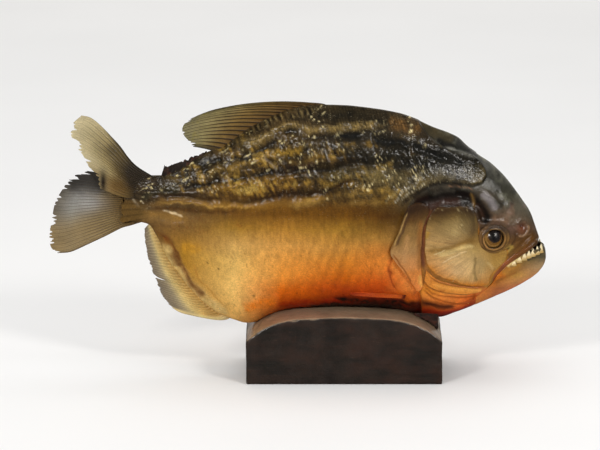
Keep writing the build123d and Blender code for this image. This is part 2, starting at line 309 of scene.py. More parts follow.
# the scaled skin: everything behind the gill cover and the lobe over the temple
scaled_zone = (
    (39.5, 20), (39.5, 40.0), (37.5, 47.7), (33.5, 52.5), (29.5, 58.9), (24.0, 68.0), (27.6, 77.6),
    (29.8, 85), (31.5, 90.5), (33.5, 94.5), (36.5, 98.5), (41, 102), (48.5, 103.6), (57, 102.6),
    (64.5, 101.4), (69.4, 102.4), (71.8, 105.6), (71.4, 108.6), (69.4, 111.4), (65.8, 114.2), (62, 116),
    (57, 117.8), (52, 119.2), (47, 122), (42, 126), (38, 131), (34, 150), (-125, 150), (-125, 20),
)
throat_zone = (
    (39.5, 20), (39.5, 40.0), (38.5, 47.7), (41.2, 51.0), (43.7, 48.4), (51.3, 45.2), (62.0, 43.6),
    (72, 47.4), (76, 47), (76, 20),
)
temple_zone = (
    (33, 93), (37, 96.2), (42.5, 98.4), (48, 100), (54, 100.8), (60, 100.4), (65, 98.6), (68.6, 95),
    (72, 90.6), (75, 86.4), (75, 83), (71, 81), (68, 84), (66.4, 89), (62.5, 91.2), (54, 91),
    (47.5, 91.6), (43, 90.6), (38, 86), (35, 88),
)


def body_level(x, angle):
    """Height on the flank for a section angle: -90 degrees is the belly keel, +90 the back."""
    back, belly = curve(back_line, x), curve(belly_line, x)
    return (back + belly) / 2 + (back - belly) / 2 * np.sin(angle)


def level_angle(x, z):
    """Section angle of a height on the flank."""
    back, belly = curve(back_line, x), curve(belly_line, x)
    return np.arcsin(np.clip((z - (back + belly) / 2) / np.maximum((back - belly) / 2, 0.05), -1, 1))


def flank(x, angle):
    """Half width of the plain body at a section angle."""
    keel = 1.0 + 0.22 * smooth(0.5, 1.5, angle) * smooth(95, 40, x) - 0.12 * smooth(-0.3, -1.2, angle)
    return curve(half_width_line, x) * np.maximum(np.cos(angle), 0) ** np.clip(keel, 0.6, 1.6)


def side_points(x, z, side):
    """Points on the plain body surface."""
    return np.stack([x, side * flank(x, level_angle(x, z)), z], axis=-1)


def surface(x, z, side, height):
    """Points on the flank raised by height along its normal."""
    step = 0.3
    along = side_points(x + step, z, side) - side_points(x - step, z, side)
    up = side_points(x, z + step, side) - side_points(x, z - step, side)
    normal = unit(np.cross(along, up))
    normal *= np.sign(normal[..., 1:2] * side + 1e-12)
    return side_points(x, z, side) + normal * np.asarray(height)[..., None]


def grid_normals(points, outward):
    """Unit normals of a grid of points, turned to agree with outward."""
    normal = unit(np.cross(np.gradient(points, axis=0), np.gradient(points, axis=1)))
    flip = np.sign((normal * outward).sum(-1, keepdims=True))
    return normal * np.where(flip == 0, 1, flip)


def make_object(name, points, faces, colour=None, **masks):
    """A smooth mesh object from points in millimetres, with painted colours and masks on its points."""
    mesh = bpy.data.meshes.new(name)
    mesh.from_pydata((np.reshape(points, (-1, 3)) * MM).tolist(), [], [tuple(f) for f in faces])
    mesh.validate()
    mesh.update()
    mesh.polygons.foreach_set("use_smooth", [True] * len(mesh.polygons))
    if colour is not None:
        layer = mesh.attributes.new("tint", "FLOAT_COLOR", "POINT")
        rows = np.ones((len(mesh.vertices), 4), np.float32)
        # varnish deepens every colour
        rows[:, :3] = np.clip(1.2 * np.clip(np.reshape(colour, (-1, 3)), 0.0005, 1) ** 1.15, 0, 0.95)
        layer.data.foreach_set("color", rows.ravel())
    for key, values in masks.items():
        layer = mesh.attributes.new(key, "FLOAT", "POINT")
        layer.data.foreach_set("value", np.ravel(values).astype(np.float32))
    piece = bpy.data.objects.new(name, mesh)
    bpy.context.scene.collection.objects.link(piece)
    return piece


def grid_faces(rows, columns, wrap=False, offset=0, flip=False):
    """Quads of a rows x columns grid; wrap joins the last column to the first."""
    i = np.arange(rows - 1)[:, None]
    j = np.arange(columns if wrap else columns - 1)[None, :]
    k = (j + 1) % columns
    corners = [i * columns + j, i * columns + k, (i + 1) * columns + k, (i + 1) * columns + j]
    quads = np.stack(corners, axis=-1).reshape(-1, 4) + offset
    return (quads[:, ::-1] if flip else quads).tolist()


def end_cap(rows, columns):
    """The face that closes a wrapped grid past its last row."""
    return list(range((rows - 1) * columns, rows * columns))


# ------------------------------------------------------------ flank features
# (points along the flank, width, lift)
folds = (
    (((-60, 119), (-48.5, 122), (-40, 125.5), (-33.5, 128.8), (-27.5, 131), (-13.5, 130), (2, 131.2),
     (13.5, 132), (22, 132.4)), 2.8, 1.1),
    (((-54, 117), (-46, 118), (-40, 120.5), (-33.5, 125.5), (-27, 128), (-19, 126.6), (-13.5, 125.2),
     (-7, 126.8), (5.5, 127.2), (21, 125), (38, 119.5), (54, 114.2), (63, 111.2)), 1.7, -1.5),
    (((-37, 119), (-24.5, 122), (-6, 122.8), (10, 121), (25, 118.4), (38, 115.8)), 3.4, 0.9),
    (((-41.5, 116.5), (-37.5, 112.5), (-33.5, 110), (-27.5, 109.2), (-21.5, 110.5), (-13.5, 109.8),
     (-3, 112), (5.5, 113.5), (20, 113.2)), 1.5, -1.3),
    (((-83.5, 98), (-71.5, 100.5), (-64, 103), (-48.5, 106), (-40, 108), (-33.5, 109.2)), 1.6, -1.2),
    (((-90, 108), (-77, 110.5), (-65.5, 112.5), (-52, 115), (-42, 117)), 1.8, -1.2),
    (((-72, 107), (-63, 108), (-57, 109.5), (-48.5, 113), (-40, 114)), 2.2, 0.9),
    (((-66, 98.6), (-54, 100.5), (-46, 103), (-40, 104.6), (-29, 107), (-18, 107.5)), 2.0, 1.0),
    (((-100, 93), (-83.5, 94), (-68, 93), (-50.5, 93), (-40, 95), (-29, 97.5), (-16.5, 98), (-6, 102),
     (6.5, 105), (16, 105.6)), 1.4, -0.9),
    (((-30, 92), (-17.5, 94), (-6, 96.5), (5.5, 99), (18, 99.4)), 2.6, 0.8),
    (((-16, 103), (-6, 104.6), (3.5, 107), (14, 108.6), (26, 107)), 3.0, 0.8),
    (((-98, 87.6), (-87.5, 87.4), (-76, 87), (-65, 87), (-50, 88), (-30, 88.4)), 1.3, -0.3),
    (((25, 94), (29, 98), (34.5, 102), (40, 105.5)), 1.6, 0.9),
    (((28, 90), (32, 96), (38, 100.5), (48, 102.6)), 1.3, -0.8),
    (((40.5, 126.8), (45.5, 123), (50, 120), (54, 118.6), (58, 117.8), (62.5, 116), (66, 113.5),
     (69, 110.4)), 1.3, 1.3),
    (((45, 127.5), (52, 123), (57, 121)), 1.8, -0.5),
    (((-95, 74.5), (-90.5, 71.5), (-87.5, 66), (-85, 60), (-81, 52.5), (-76, 45), (-70, 38.5),
     (-63, 33.4)), 1.6, -0.7),
    (((-106, 80.6), (-98, 80.4), (-91, 80.6), (-84, 79.6), (-75, 78)), 1.5, 0.7),
    (((23.6, 70), (22.6, 62), (23.4, 53), (27, 47)), 1.2, -0.7),
)
# upright lines of colour: (x, ((height, colour), ...))
flank_ground = (
    (-103, ((79, (116, 86, 46)), (83, (128, 102, 60)), (87, (92, 72, 46)), (91, (78, 62, 42)),
     (103, (52, 44, 36)))),
    (-80, ((43, (172, 128, 54)), (63, (172, 130, 44)), (71, (152, 114, 46)), (79, (130, 98, 50)),
     (83, (122, 94, 54)), (87, (90, 68, 34)), (91, (84, 64, 38)), (99, (62, 52, 38)),
     (110, (46, 42, 32)))),
    (-56, ((30, (214, 170, 98)), (47, (222, 184, 112)), (63, (208, 172, 102)), (71, (186, 150, 88)),
     (79, (148, 114, 44)), (87, (112, 78, 24)), (91, (128, 94, 30)), (95, (92, 66, 22)),
     (99, (108, 82, 34)), (107, (82, 66, 34)), (115, (92, 74, 44)), (121, (60, 52, 36)))),
    (-32, ((39, (186, 86, 6)), (47, (206, 110, 12)), (55, (214, 144, 60)), (63, (210, 150, 72)),
     (71, (202, 152, 80)), (79, (166, 122, 48)), (87, (112, 76, 14)), (91, (120, 84, 20)),
     (95, (80, 52, 12)), (103, (86, 64, 30)), (111, (60, 44, 20)), (119, (96, 78, 38)),
     (127, (80, 64, 38)), (137, (78, 64, 40)))),
    (0, ((37, (92, 36, 6)), (43, (146, 54, 3)), (48, (176, 74, 2)), (54, (192, 102, 4)),
     (63, (192, 124, 40)), (71, (182, 133, 62)), (79, (150, 114, 42)), (87, (114, 78, 12)),
     (91, (104, 70, 10)), (99, (92, 70, 28)), (107, (106, 90, 52)), (115, (58, 45, 25)),
     (121, (52, 42, 27)), (137, (50, 43, 28)))),
    (20, ((37, (60, 10, 2)), (45, (168, 66, 5)), (51, (198, 92, 12)), (59, (208, 128, 50)),
     (67, (188, 124, 54)), (75, (156, 118, 56)), (83, (108, 78, 24)), (87, (84, 54, 6)),
     (93, (88, 64, 22)), (99, (88, 72, 40)), (107, (112, 100, 70)), (115, (48, 42, 30)),
     (137, (54, 46, 32)))),
    (32, ((38, (84, 20, 2)), (44, (180, 88, 16)), (48, (208, 128, 58)), (57, (202, 132, 66)),
     (65, (166, 114, 62)), (73, (134, 104, 62)), (81, (108, 80, 42)), (87, (84, 60, 18)),
     (97, (98, 86, 62)), (107, (90, 80, 54)), (113, (42, 38, 28)), (119, (30, 27, 22)),
     (131, (72, 60, 42)))),
)
# (points, width, colour, strength) painted over the ground colours, in order
streaks = (
    # black back line and speckled upper back
    (((-30, 134.6), (-13.5, 135.6), (2, 136), (14, 134.8), (24, 132.6)), 1.7, (28, 25, 19), 0.75),
    # pale olive band under it
    (((-57, 119.6), (-47, 122.4), (-40, 125.2), (-33.5, 128.6), (-27.5, 130.6), (-13.5, 129.6), (2, 131),
     (13.5, 131.6), (23, 132.4)), 1.7, (142, 122, 76), 0.85),
    (((22, 133), (30, 131.2), (38, 128.4)), 2.6, (120, 88, 44), 0.6),
    # dark fold, dark skin and painted shade in its groove, widening into the smooth dark band
    (((-54, 117), (-46, 118), (-40, 120.5), (-33.5, 125.6), (-27, 128), (-19, 126.6), (-13.5, 125.2),
     (-7, 126.8), (5.5, 127.2), (16, 126)), 1.0, (24, 22, 20), 1.0),
    (((-8, 126.4), (5.5, 126.6), (21, 124.4), (38, 119.8), (54, 114.4), (64, 111.4)), 2.5, (30, 31, 31),
     1.0),
    # speckled dark flank
    (((-24, 121.5), (-6, 121.8), (10, 120.4), (25, 117.6), (44, 112)), 3.4, (58, 50, 32), 0.8),
    (((-2, 118.4), (12, 116), (28, 112.6), (46, 108)), 3.6, (38, 35, 28), 0.85),
    (((-39, 118.4), (-30, 119.2), (-20, 119.4)), 1.4, (160, 130, 50), 0.65),
    (((-30, 114.8), (-21, 113.8), (-13.5, 115.4), (-4, 115.6)), 1.8, (120, 96, 48), 0.7),
    # purple-brown bruise, and its dark line: dark skin and painted shade in a fold's groove
    (((-42, 117), (-38, 113), (-33, 110.6), (-24, 111.4), (-13, 112)), 2.0, (56, 38, 30), 0.75),
    (((-37.5, 111.6), (-30, 109.4), (-21.5, 110.4), (-13.5, 109.6), (-3, 112), (8, 113.4)), 0.8,
     (26, 20, 14), 0.95),
    # olive patch ahead of it
    (((-10, 108), (2, 108.4), (13.5, 108.6), (25, 106.6)), 3.2, (112, 98, 58), 0.5),
    (((-14, 104.6), (-2, 103), (8, 104)), 1.3, (146, 118, 50), 0.6),
    # gold on the tail half
    (((-72, 106.6), (-63, 107.8), (-57, 109.4), (-48.5, 112.8), (-42, 114.4)), 1.6, (130, 106, 50), 0.7),
    (((-67, 98.4), (-54, 100.4), (-46, 103), (-40, 104.4), (-29, 106.6), (-22, 106.4)), 1.8,
     (140, 108, 40), 0.7),
    # dark skin and painted shade in a fold's groove
    (((-90, 108.4), (-77, 110.6), (-65.5, 112.6), (-52, 115), (-42, 117)), 1.5, (28, 26, 24), 0.95),
    (((-96, 101), (-87, 101.6), (-80, 103), (-75, 107)), 2.4, (44, 42, 38), 0.8),
    # dark skin and painted shade in a fold's groove
    (((-84, 98), (-71.5, 100.6), (-64, 103), (-48.5, 106), (-40, 108), (-33.5, 109.2)), 1.1, (32, 27, 20),
     0.95),
    (((-106, 93.5), (-98, 95), (-91, 97), (-83.5, 98)), 3.0, (58, 54, 38), 0.85),
    # lateral fold, dark skin and painted shade in its groove, then the bright line below it: gold skin with a
    # painted highlight on the fold's rim, and a darker line in a shallow groove
    (((-104, 90.6), (-94, 93), (-83.5, 94.2), (-68, 93.4), (-50.5, 93.2), (-40, 95.2), (-29, 97.6),
     (-16.5, 98.2), (-6, 102), (6.5, 105), (16, 105.8)), 1.3, (52, 34, 14), 0.95),
    (((-96, 91), (-84, 90.6), (-70, 90.5), (-55, 90), (-42, 90.4)), 0.45, (190, 156, 84), 0.5),
    (((-98, 87.8), (-87.5, 87.6), (-76, 87.2), (-65, 87.2), (-50, 88)), 0.9, (88, 58, 20), 0.7),
    (((-30, 92), (-17.5, 94), (-6, 96.6), (5.5, 99), (18, 99.4)), 1.8, (156, 128, 70), 0.7),
    (((-8, 93.2), (6, 94), (18, 95)), 2.2, (150, 120, 62), 0.6),
    (((-59, 110.4), (-50, 113)), 1.8, (150, 124, 70), 0.6),
    (((19, 114), (34, 113.6)), 2.4, (34, 31, 25), 0.85),
    (((-27, 136), (-18, 136.4)), 1.2, (92, 78, 50), 0.6),
    # scraped skin above the gill cover: pale scratch lines on a ridge, painted as highlights, then painted
    # shade in the groove below them
    (((23, 93), (28, 98.4), (33.5, 102.6), (41, 107)), 0.35, (190, 186, 170), 0.8),
    (((26, 92), (30.4, 97.4), (36, 101.4), (42, 104)), 0.3, (180, 174, 156), 0.7),
    (((21, 94.6), (25, 99.2), (29, 102.2)), 0.3, (150, 140, 110), 0.7),
    (((30, 103.6), (36, 107), (44, 110)), 0.3, (170, 168, 156), 0.6),
    (((28, 90), (32, 96), (38, 100.4), (48, 102.4), (60, 102.2)), 1.2, (40, 28, 20), 0.8),
    (((18, 119), (30, 117.6), (40, 114), (50, 112)), 3.4, (26, 25, 22), 0.8),
    # scaled lobe on the nape, with a painted highlight on the lobe, a dark line under it and a painted
    # highlight along the ridge above it
    (((44, 109.6), (52, 108.6), (60, 106.8), (66, 105.6)), 3.0, (108, 107, 106), 0.85),
    (((46, 103.4), (54, 103.4), (62, 102.6)), 1.1, (44, 38, 32), 0.7),
    (((40.5, 126.8), (45.5, 123), (50, 120.2), (54, 118.8), (60, 117.4), (66, 113.6)), 0.8,
     (150, 150, 146), 0.7),
    # along the anal fin
    (((-94, 71), (-92, 67), (-88, 60), (-82, 51), (-74.6, 42.6), (-66, 35.6), (-58, 31)), 3.2,
     (206, 180, 122), 0.85),
    (((-96, 76), (-91, 72), (-87.5, 66), (-85, 60), (-81, 52.5), (-76, 45), (-70, 38.5)), 1.7,
     (112, 62, 12), 0.75),
    (((-88, 66), (-86, 61), (-83.6, 56)), 2.6, (92, 48, 12), 0.45),
    (((-81, 52), (-77, 46), (-71, 40)), 2.4, (104, 58, 16), 0.4),
    (((-83, 67), (-77, 68), (-74, 64)), 3.0, (192, 142, 38), 0.6),
    (((-78, 60), (-73, 51), (-67, 43.5), (-60, 35)), 0.6, (166, 116, 44), 0.5),
    # peduncle, with small painted white glints at the tail root and on the peduncle
    (((-104, 84.6), (-95, 84.6), (-87.5, 83.6), (-78, 82)), 2.0, (146, 112, 56), 0.75),
    (((-106.6, 93), (-105, 90), (-104.4, 87.4)), 0.6, (214, 204, 182), 0.75),
    (((-103.6, 92.4), (-102, 90.4)), 0.4, (220, 208, 184), 0.7),
    (((-92, 86.4), (-87, 85.4), (-82, 84)), 0.5, (226, 206, 170), 0.7),
    (((-104, 100), (-101, 98.4)), 0.6, (150, 146, 134), 0.6),
    # red-orange behind the gill cover and along the block; the two near-black strokes are painted shadow, in
    # the crevice over the block and under the pectoral fin
    (((23, 66), (22, 58), (24, 50), (30, 44)), 1.8, (204, 104, 30), 0.4),
    (((23.4, 68), (22.6, 60), (23.4, 53), (27, 47)), 0.5, (126, 48, 8), 0.8),
    (((-36, 36.6), (-20, 38), (0, 39), (20, 39.4), (38, 38)), 2.6, (158, 40, 4), 0.85),
    (((-52, 34), (-44, 38), (-34, 41)), 3.4, (216, 122, 14), 0.7),
    (((-20, 36), (0, 36.8), (20, 37), (34, 35.6)), 1.7, (30, 6, 1), 1.0),
    (((-5, 41.6), (4, 40.8), (14, 40), (28, 39.4), (40, 39)), 2.0, (22, 3, 0), 1.0),
    (((30, 42), (36, 43), (42, 42.4)), 2.2, (206, 112, 40), 0.5),
)
smooth_band = ((-8, 126.4), (5.5, 126.4), (21, 124.2), (38, 119.6), (54, 114.2), (64, 111.2))
dorsal_notches = ((-66, 116.4), (-56, 122.8), (-46, 128.8), (-34, 134.2), (-22, 137.4), (-12, 138.6))
anal_fin_root = ((-97, 77), (-92.4, 69), (-88, 60), (-82, 51), (-74.6, 42.6), (-66, 35.6), (-58, 31))
lateral_rim = ((-104, 89), (-84, 91.6), (-60, 91.4), (-40, 92.6), (-20, 95), (-4, 98))
notch_pitch = 2.9


def flank_places(x, z, seed):
    """Wandering places for the ground colours and for the folds, and the gaps in the folds."""
    ground_x = x + 1.6 * fractal(x, z, 9, seed) + 0.5 * noise(x, z, 2.6, seed + 1)
    ground_z = z + 1.3 * fractal(x + 50, z, 8, seed + 2) + 0.4 * noise(x, z, 2.2, seed + 3)
    fold_x = ground_x + 0.7 * noise(x, z, 4.6, seed + 5)
    fold_z = ground_z + 0.8 * noise(x + 9, z, 4.2, seed + 6)
    gaps = smooth(86, 92, z) * smooth(-0.1, -0.6, noise(x, z, 5.5, seed + 7))
    return ground_x, ground_z, fold_x, fold_z, gaps


def rib_wave(x, z, seed):
    """Uneven muscle bundles on the lower flank, leaning forward at the top."""
    phase = (x - 0.36 * (z - 60) + 3.2 * fractal(x, z, 18, seed + 1)) * 2 * math.pi / 5.6
    uneven = 0.65 + 0.7 * noise(x, z * 0.4, 8, seed + 2)
    return np.sin(phase) * np.clip(uneven, 0, 1.2) * spot(x, z, (-10, 55), (36, 17))


def wrinkle_lines(x, z, seed):
    """Thin creases that wander along the flank."""
    first = smooth(0.86, 0.99, 1 - 2.6 * np.abs(fractal(x * 0.42, z * 1.5, 5.5, seed + 1, octaves=3)))
    second = smooth(0.9, 0.99, 1 - 3.0 * np.abs(fractal(x * 0.6, z * 1.4, 3.4, seed + 6, octaves=3)))
    return np.clip(first + 0.6 * second, 0, 1)


def flank_relief(x, z, side):
    """Height of the folds, ribs and wrinkles above the plain trunk surface."""
    seed = side_seed(side)
    _, _, wx, wz, gaps = flank_places(x, z, seed)
    height = raise_strokes(0.25 * fractal(x, z * 1.6, 7, seed + 4), wx, wz, folds, 1 - gaps)
    height = height + 0.26 * rib_wave(x, z, seed)
    # crumpled, combed skin above the lateral fold
    calm = 1 - stroke(wx, wz, smooth_band, 3.2)
    wrinkled = smooth(91, 99, z) * smooth(132, 124, z) * smooth(66, 30, x) * calm
    height = height + 0.4 * wrinkled * fractal(x * 0.5, z * 1.7, 3.2, seed + 2)
    height = height + 0.3 * wrinkled * noise(x + 0.4 * z, z * 0.35, 1.5, seed + 3)
    height = height - 0.45 * wrinkled * wrinkle_lines(x, z, seed)
    # rows of raised scales by the dorsal fin
    notches = np.sin((x + 0.5 * z) * FULL_TURN / notch_pitch)
    return height + 0.35 * stroke(wx, wz, dorsal_notches, 1.9) * notches


def flank_colour(x, z, side):
    """Painted colours of the trunk, where it gets painted glints, and where it has scales."""
    seed = side_seed(side)
    ground_x, ground_z, wx, wz, gaps = flank_places(x, z, seed)
    level = ground_z + 1.5 * fractal(x, z, 14, seed + 4)
    # golden scales between dark, bruised ones
    rich = smooth(91, 98, level) * smooth(128, 120, level)
    rich = rich * smooth(44, 8, ground_x) * smooth(-96, -66, ground_x)
    patchy = fractal(x * 0.5 - 0.12 * z, z * 1.3, 6, seed + 2)
    patchy = patchy + 0.35 * noise(x + 0.4 * z, z * 0.35, 1.3, seed + 3)
    colour = lay(
        ramps(ground_x, level, flank_ground),
        ((156, 124, 50), rich * smooth(0.02, 0.42, patchy) * 0.7),
        ((178, 156, 92), rich * smooth(0.3, 0.6, patchy) * 0.5),
        ((36, 27, 13), rich * smooth(-0.04, -0.4, patchy) * 0.6),
    )
    unbroken = (1 - 0.7 * gaps) * (0.86 + 0.3 * noise(x, z, 1.3, seed + 7))
    colour = lay_strokes(colour, wx, wz, streaks, unbroken, power=2.6)
    colour = shade(colour, 0.22 * stroke(wx, wz, anal_fin_root, 3.6) * np.sin((2.3 * z - 0.9 * x) * 2.2))
    pepper = smooth(0.0, 0.35, noise(x, z, 1.1, seed + 1) + 0.4 * noise(x, z, 3, seed))
    colour = lay(colour, ((26, 25, 26), 0.85 * spot(wx, wz, (57, 108.5), (12, 6)) * pepper))
    # creases painted dark as shade in their grooves, and broken lines of light and dark scales over
    # everything
    upper = smooth(92, 99, level + 7 * smooth(-76, -92, x)) * (1 - stroke(wx, wz, smooth_band, 3.2))
    colour = lay(colour, ((26, 20, 11), 0.7 * upper * wrinkle_lines(x, z, seed) * smooth(66, 30, x)))
    combed = noise(x + 0.45 * z, z * 0.32, 0.95, seed + 4)
    combed = combed + 0.6 * noise(x + 0.3 * z, z * 0.5, 0.6, seed + 5)
    colour = shade(colour, 0.3 * combed * (0.15 + 0.85 * upper))
    # painted glints: short slanted pale dashes in clumps
    along, across = 0.8 * x + 0.6 * z, 0.8 * z - 0.6 * x
    clumps = smooth(-0.15, 0.35, fractal(x, z, 6, seed + 6)) * smooth(64, 30, x)
    glint_dashes = noise(along * 0.36, across, 0.75, seed + 5) + 0.4 * noise(along * 0.7, across, 0.5, seed + 6)
    colour = lay(colour, ((236, 222, 176), 0.75 * upper * clumps * smooth(0.5, 0.95, glint_dashes)))
    # black bars on the strip beside the dorsal fin
    bars = np.sin((x + 0.5 * z + 0.7 * noise(x, z, 2.4, seed + 5)) * FULL_TURN / notch_pitch)
    notches = stroke(wx, wz, dorsal_notches, 1.9) * smooth(-0.5, 0.4, noise(x, z, 3.0, seed + 4))
    colour = lay(
        colour,
        ((20, 17, 12), notches * smooth(-0.1, 0.6, -bars) * 0.85),
        ((150, 134, 92), notches * smooth(0.4, 0.9, bars) * 0.4),
    )
    colour = shade(colour, 0.22 * np.sin((x + 0.35 * z) * FULL_TURN / 1.5) * smooth(127, 131, z))
    # blotchy varnish and dirt
    colour = shade(colour, 0.13 * fractal(x, z, 5, seed + 3) + 0.08 * noise(x, z, 1.4, seed + 6))
    # painted light and shade that follow the raised muscle bundles
    colour = shade(colour, 0.13 * rib_wave(x, z, seed))
    # upright combing above the pale belly, then specks and a few dark dots
    combed = noise(x * 1.1, z * 0.2, 1.0, seed + 2) + 0.5 * noise(x * 2.2, z * 0.3, 1.0, seed + 3)
    colour = shade(colour, 0.11 * combed * smooth(52, 76, z) * smooth(95, 89, z))
    speckle = smooth(0.72, 0.8, noise(x, z, 0.55, seed + 1)) * smooth(0, 0.4, noise(x, z, 7, seed + 2))
    colour = lay(colour, ((120, 62, 14), 0.4 * speckle * smooth(90, 84, z)))
    for dot in ((-64, 57.5), (-69.5, 60.5), (-46, 43)):
        colour = lay(colour, ((30, 16, 6), 0.9 * spot(x, z, dot, 0.55)))
    # the root of the tail fin, with rays spreading from inside the peduncle
    colour = lay(
        colour,
        ((60, 48, 32), smooth(-101, -109, wx) * smooth(89, 96, wz)),
        ((106, 82, 40), smooth(-97, -106, wx) * smooth(94, 88, wz)),
    )
    fan = np.cos(np.arctan2(z - 89, -(x + 78)) * 62)
    colour = shade(colour, -0.25 * smooth(-97, -106, x) * smooth(0.2, 0.9, fan))
    # painted glints: where the skin shader mixes a pale glint colour into the scales
    fleck = smooth(92, 102, z + 9 * smooth(-76, -92, x)) * smooth(-113, -100, x)
    fleck = fleck * (1 - 0.9 * stroke(wx, wz, smooth_band, 3.0)) + 0.4 * smooth(74, 88, z) * smooth(96, 90, z)
    # painted highlight: lighter gold along the lateral fold's rim, which also gets less coat
    rim = stroke(wx, wz, lateral_rim, 2.4)
    colour = lay(colour, ((164, 126, 58), 0.35 * rim**2))
    scale = 0.7 * smooth(84, 100, z) * (1 - 0.8 * rim) + 0.3
    return colour, np.clip(fleck, 0, 1), scale


# ------------------------------------------------------------ head and throat
# relief, ground colours and strokes of the head, as for the flank
head_folds = (
    # brow, orbit and the bright ridge in front of the temple
    (((66, 99.5), (70, 98), (74, 95.4), (77.4, 91.8), (78.6, 88.6), (77, 85)), 1.7, 1.0),
    (((66.5, 83), (70, 82.6), (75.5, 83.4), (81, 82.4), (85, 79.4)), 1.2, 0.6),
    (((83.5, 70), (86, 73.5), (86.6, 78), (84.4, 81.6)), 1.0, 0.35),
    (((66, 69.5), (70, 66.6), (75.5, 65.6), (81, 67), (85, 69.4)), 0.7, -0.5),
    # nostril flap and snout
    (((93.4, 79.6), (93.8, 77.4), (92.6, 75.2), (90.4, 74), (88, 74.6), (86.8, 76.6)), 0.6, 0.6),
    (((87.4, 80.6), (89.4, 82.6), (91.8, 82.2), (93, 80.4)), 0.5, 0.5),
    (((80, 100), (85, 94), (89, 87.6)), 1.6, -0.3),
    (((73, 105), (79, 98.6), (84, 90), (86, 84)), 1.8, 0.4),
    (((78, 61), (84, 65.4), (90, 69.8), (95.6, 74.6)), 1.2, -0.55),
    (((84, 70), (90, 73), (96.4, 77.6)), 0.8, -0.3),
    # thin bands inside the temple recess
    (((38, 91), (43, 92.8), (48.5, 94.6), (54, 95.6), (60, 95.4)), 2.3, 0.35),
    (((63, 99), (64.6, 95), (65.6, 90.6)), 1.1, 0.7),
    (((38, 97), (42, 99.6), (48, 101.4)), 0.7, 0.4),
    (((33, 92), (38, 93.4), (42, 92)), 1.2, 0.6),
)
throat_folds = (
    (((40.6, 51), (45.5, 47.9), (52, 46.2), (60, 45.4), (68, 45.6)), 0.55, -0.45),
    (((40, 49.6), (46, 45.2), (54, 42.8), (63, 42.2), (70, 43.4)), 0.5, -0.35),
    (((39.5, 47.5), (47, 42), (57.5, 38.5), (66, 38.2)), 0.55, -0.45),
    (((46, 41), (54, 38.4), (62, 40), (68, 42.4)), 0.4, 0.3),
    (((41, 40), (48, 36.4), (57, 35.4)), 0.5, -0.35),
)
head_ground = (
    (44, ((60, (150, 104, 50)), (90, (92, 60, 36)), (98, (60, 52, 40)), (112, (56, 54, 48)),
     (124, (48, 46, 40)), (130, (74, 64, 42)))),
    (70, ((60, (152, 122, 60)), (66, (156, 126, 74)), (72, (122, 88, 44)), (80, (84, 62, 42)),
     (92, (78, 64, 52)), (100, (80, 76, 68)), (110, (92, 92, 92)), (117, (62, 62, 64)))),
    (82, ((60, (124, 84, 38)), (66, (142, 110, 64)), (72, (108, 78, 42)), (77, (88, 66, 46)),
     (82, (100, 82, 66)), (89, (94, 84, 72)), (94, (70, 68, 58)), (99, (60, 60, 53)),
     (104, (78, 78, 72)))),
    (94, ((64, (100, 70, 28)), (73, (96, 66, 27)), (77, (92, 70, 50)), (81, (90, 78, 64)),
     (88, (90, 88, 79)))),
)
head_streaks = (
    (((40, 131), (48, 126.6), (56, 122.4)), 3.2, (72, 64, 44), 0.6),
    (((46.5, 124.4), (52, 121.4), (58, 119.6)), 1.3, (18, 17, 15), 0.9),
    # painted highlight along the bright ridge of the nape
    (((40.5, 126.8), (45.5, 123), (50, 120.4), (54, 119), (60, 117.4), (66, 113.6)), 0.7, (150, 150, 146),
     0.6),
    # brow, orbit, snout
    (((62, 80), (64.5, 77), (67.6, 74), (68, 69)), 1.8, (96, 66, 40), 0.8),
    (((67.5, 80), (72, 83.6), (78, 84.4), (84, 82)), 2.2, (112, 88, 70), 0.9),
    (((78, 84), (82, 86), (87, 88)), 2.6, (120, 100, 84), 0.6),
    (((78, 61), (83, 64.4), (88, 67.8), (93.4, 71.8), (97.6, 75)), 2.2, (106, 70, 20), 0.6),
    (((76, 55), (80, 59), (86, 63.4), (92, 67.6)), 1.0, (128, 80, 50), 0.8),
    (((78, 63.6), (82, 67), (86, 70.6)), 1.6, (176, 152, 76), 0.6),
    (((66, 70), (70, 66.4), (75.5, 65.4), (80.6, 66.6), (84.6, 69.8)), 0.5, (48, 28, 10), 0.85),
    (((84.6, 69.8), (86.6, 73.6), (86.8, 78)), 0.5, (70, 46, 22), 0.6),
    (((93.4, 79.6), (93.8, 77.4), (92.6, 75.2), (90.4, 74), (88, 74.6)), 0.6, (150, 122, 96), 0.8),
    (((72, 108), (76, 103), (79, 97.6)), 2.6, (54, 54, 50), 0.75),
    (((65.6, 91), (68.6, 86.4), (70.4, 82), (68.4, 78)), 2.2, (58, 42, 24), 0.8),
    # painted highlight along the brow ridge
    (((68.6, 97.6), (71.6, 95.8), (74.6, 92.6), (76.8, 88.6)), 1.6, (140, 136, 142), 0.75),
    (((66.5, 101), (70, 99.4), (73.4, 96.6)), 0.6, (150, 148, 152), 0.3),
    (((50, 102), (56, 101.9), (61, 101.2), (65.6, 99.6)), 0.4, (136, 104, 80), 0.6),
    (((33, 90), (37, 89), (41, 92)), 2.2, (170, 106, 48), 0.7),
)
temple_streaks = (
    (((39, 90.4), (43, 92), (48.5, 93.2), (54, 94), (60, 93.4)), 1.9, (78, 50, 40), 0.65),
    (((44, 97.6), (50, 99.4), (57, 99.8)), 1.2, (70, 66, 60), 0.8),
    (((35, 92.6), (39, 95.6), (43, 96.4)), 1.5, (40, 18, 12), 0.9),
    (((58.4, 98), (61, 97), (62.6, 95.6)), 1.9, (24, 12, 8), 0.95),
    (((63.6, 98.6), (65.4, 94.6), (66.4, 90.4)), 0.9, (122, 94, 44), 0.75),
    (((66.8, 93), (69.6, 88), (70.6, 84)), 1.6, (62, 38, 20), 0.8),
)
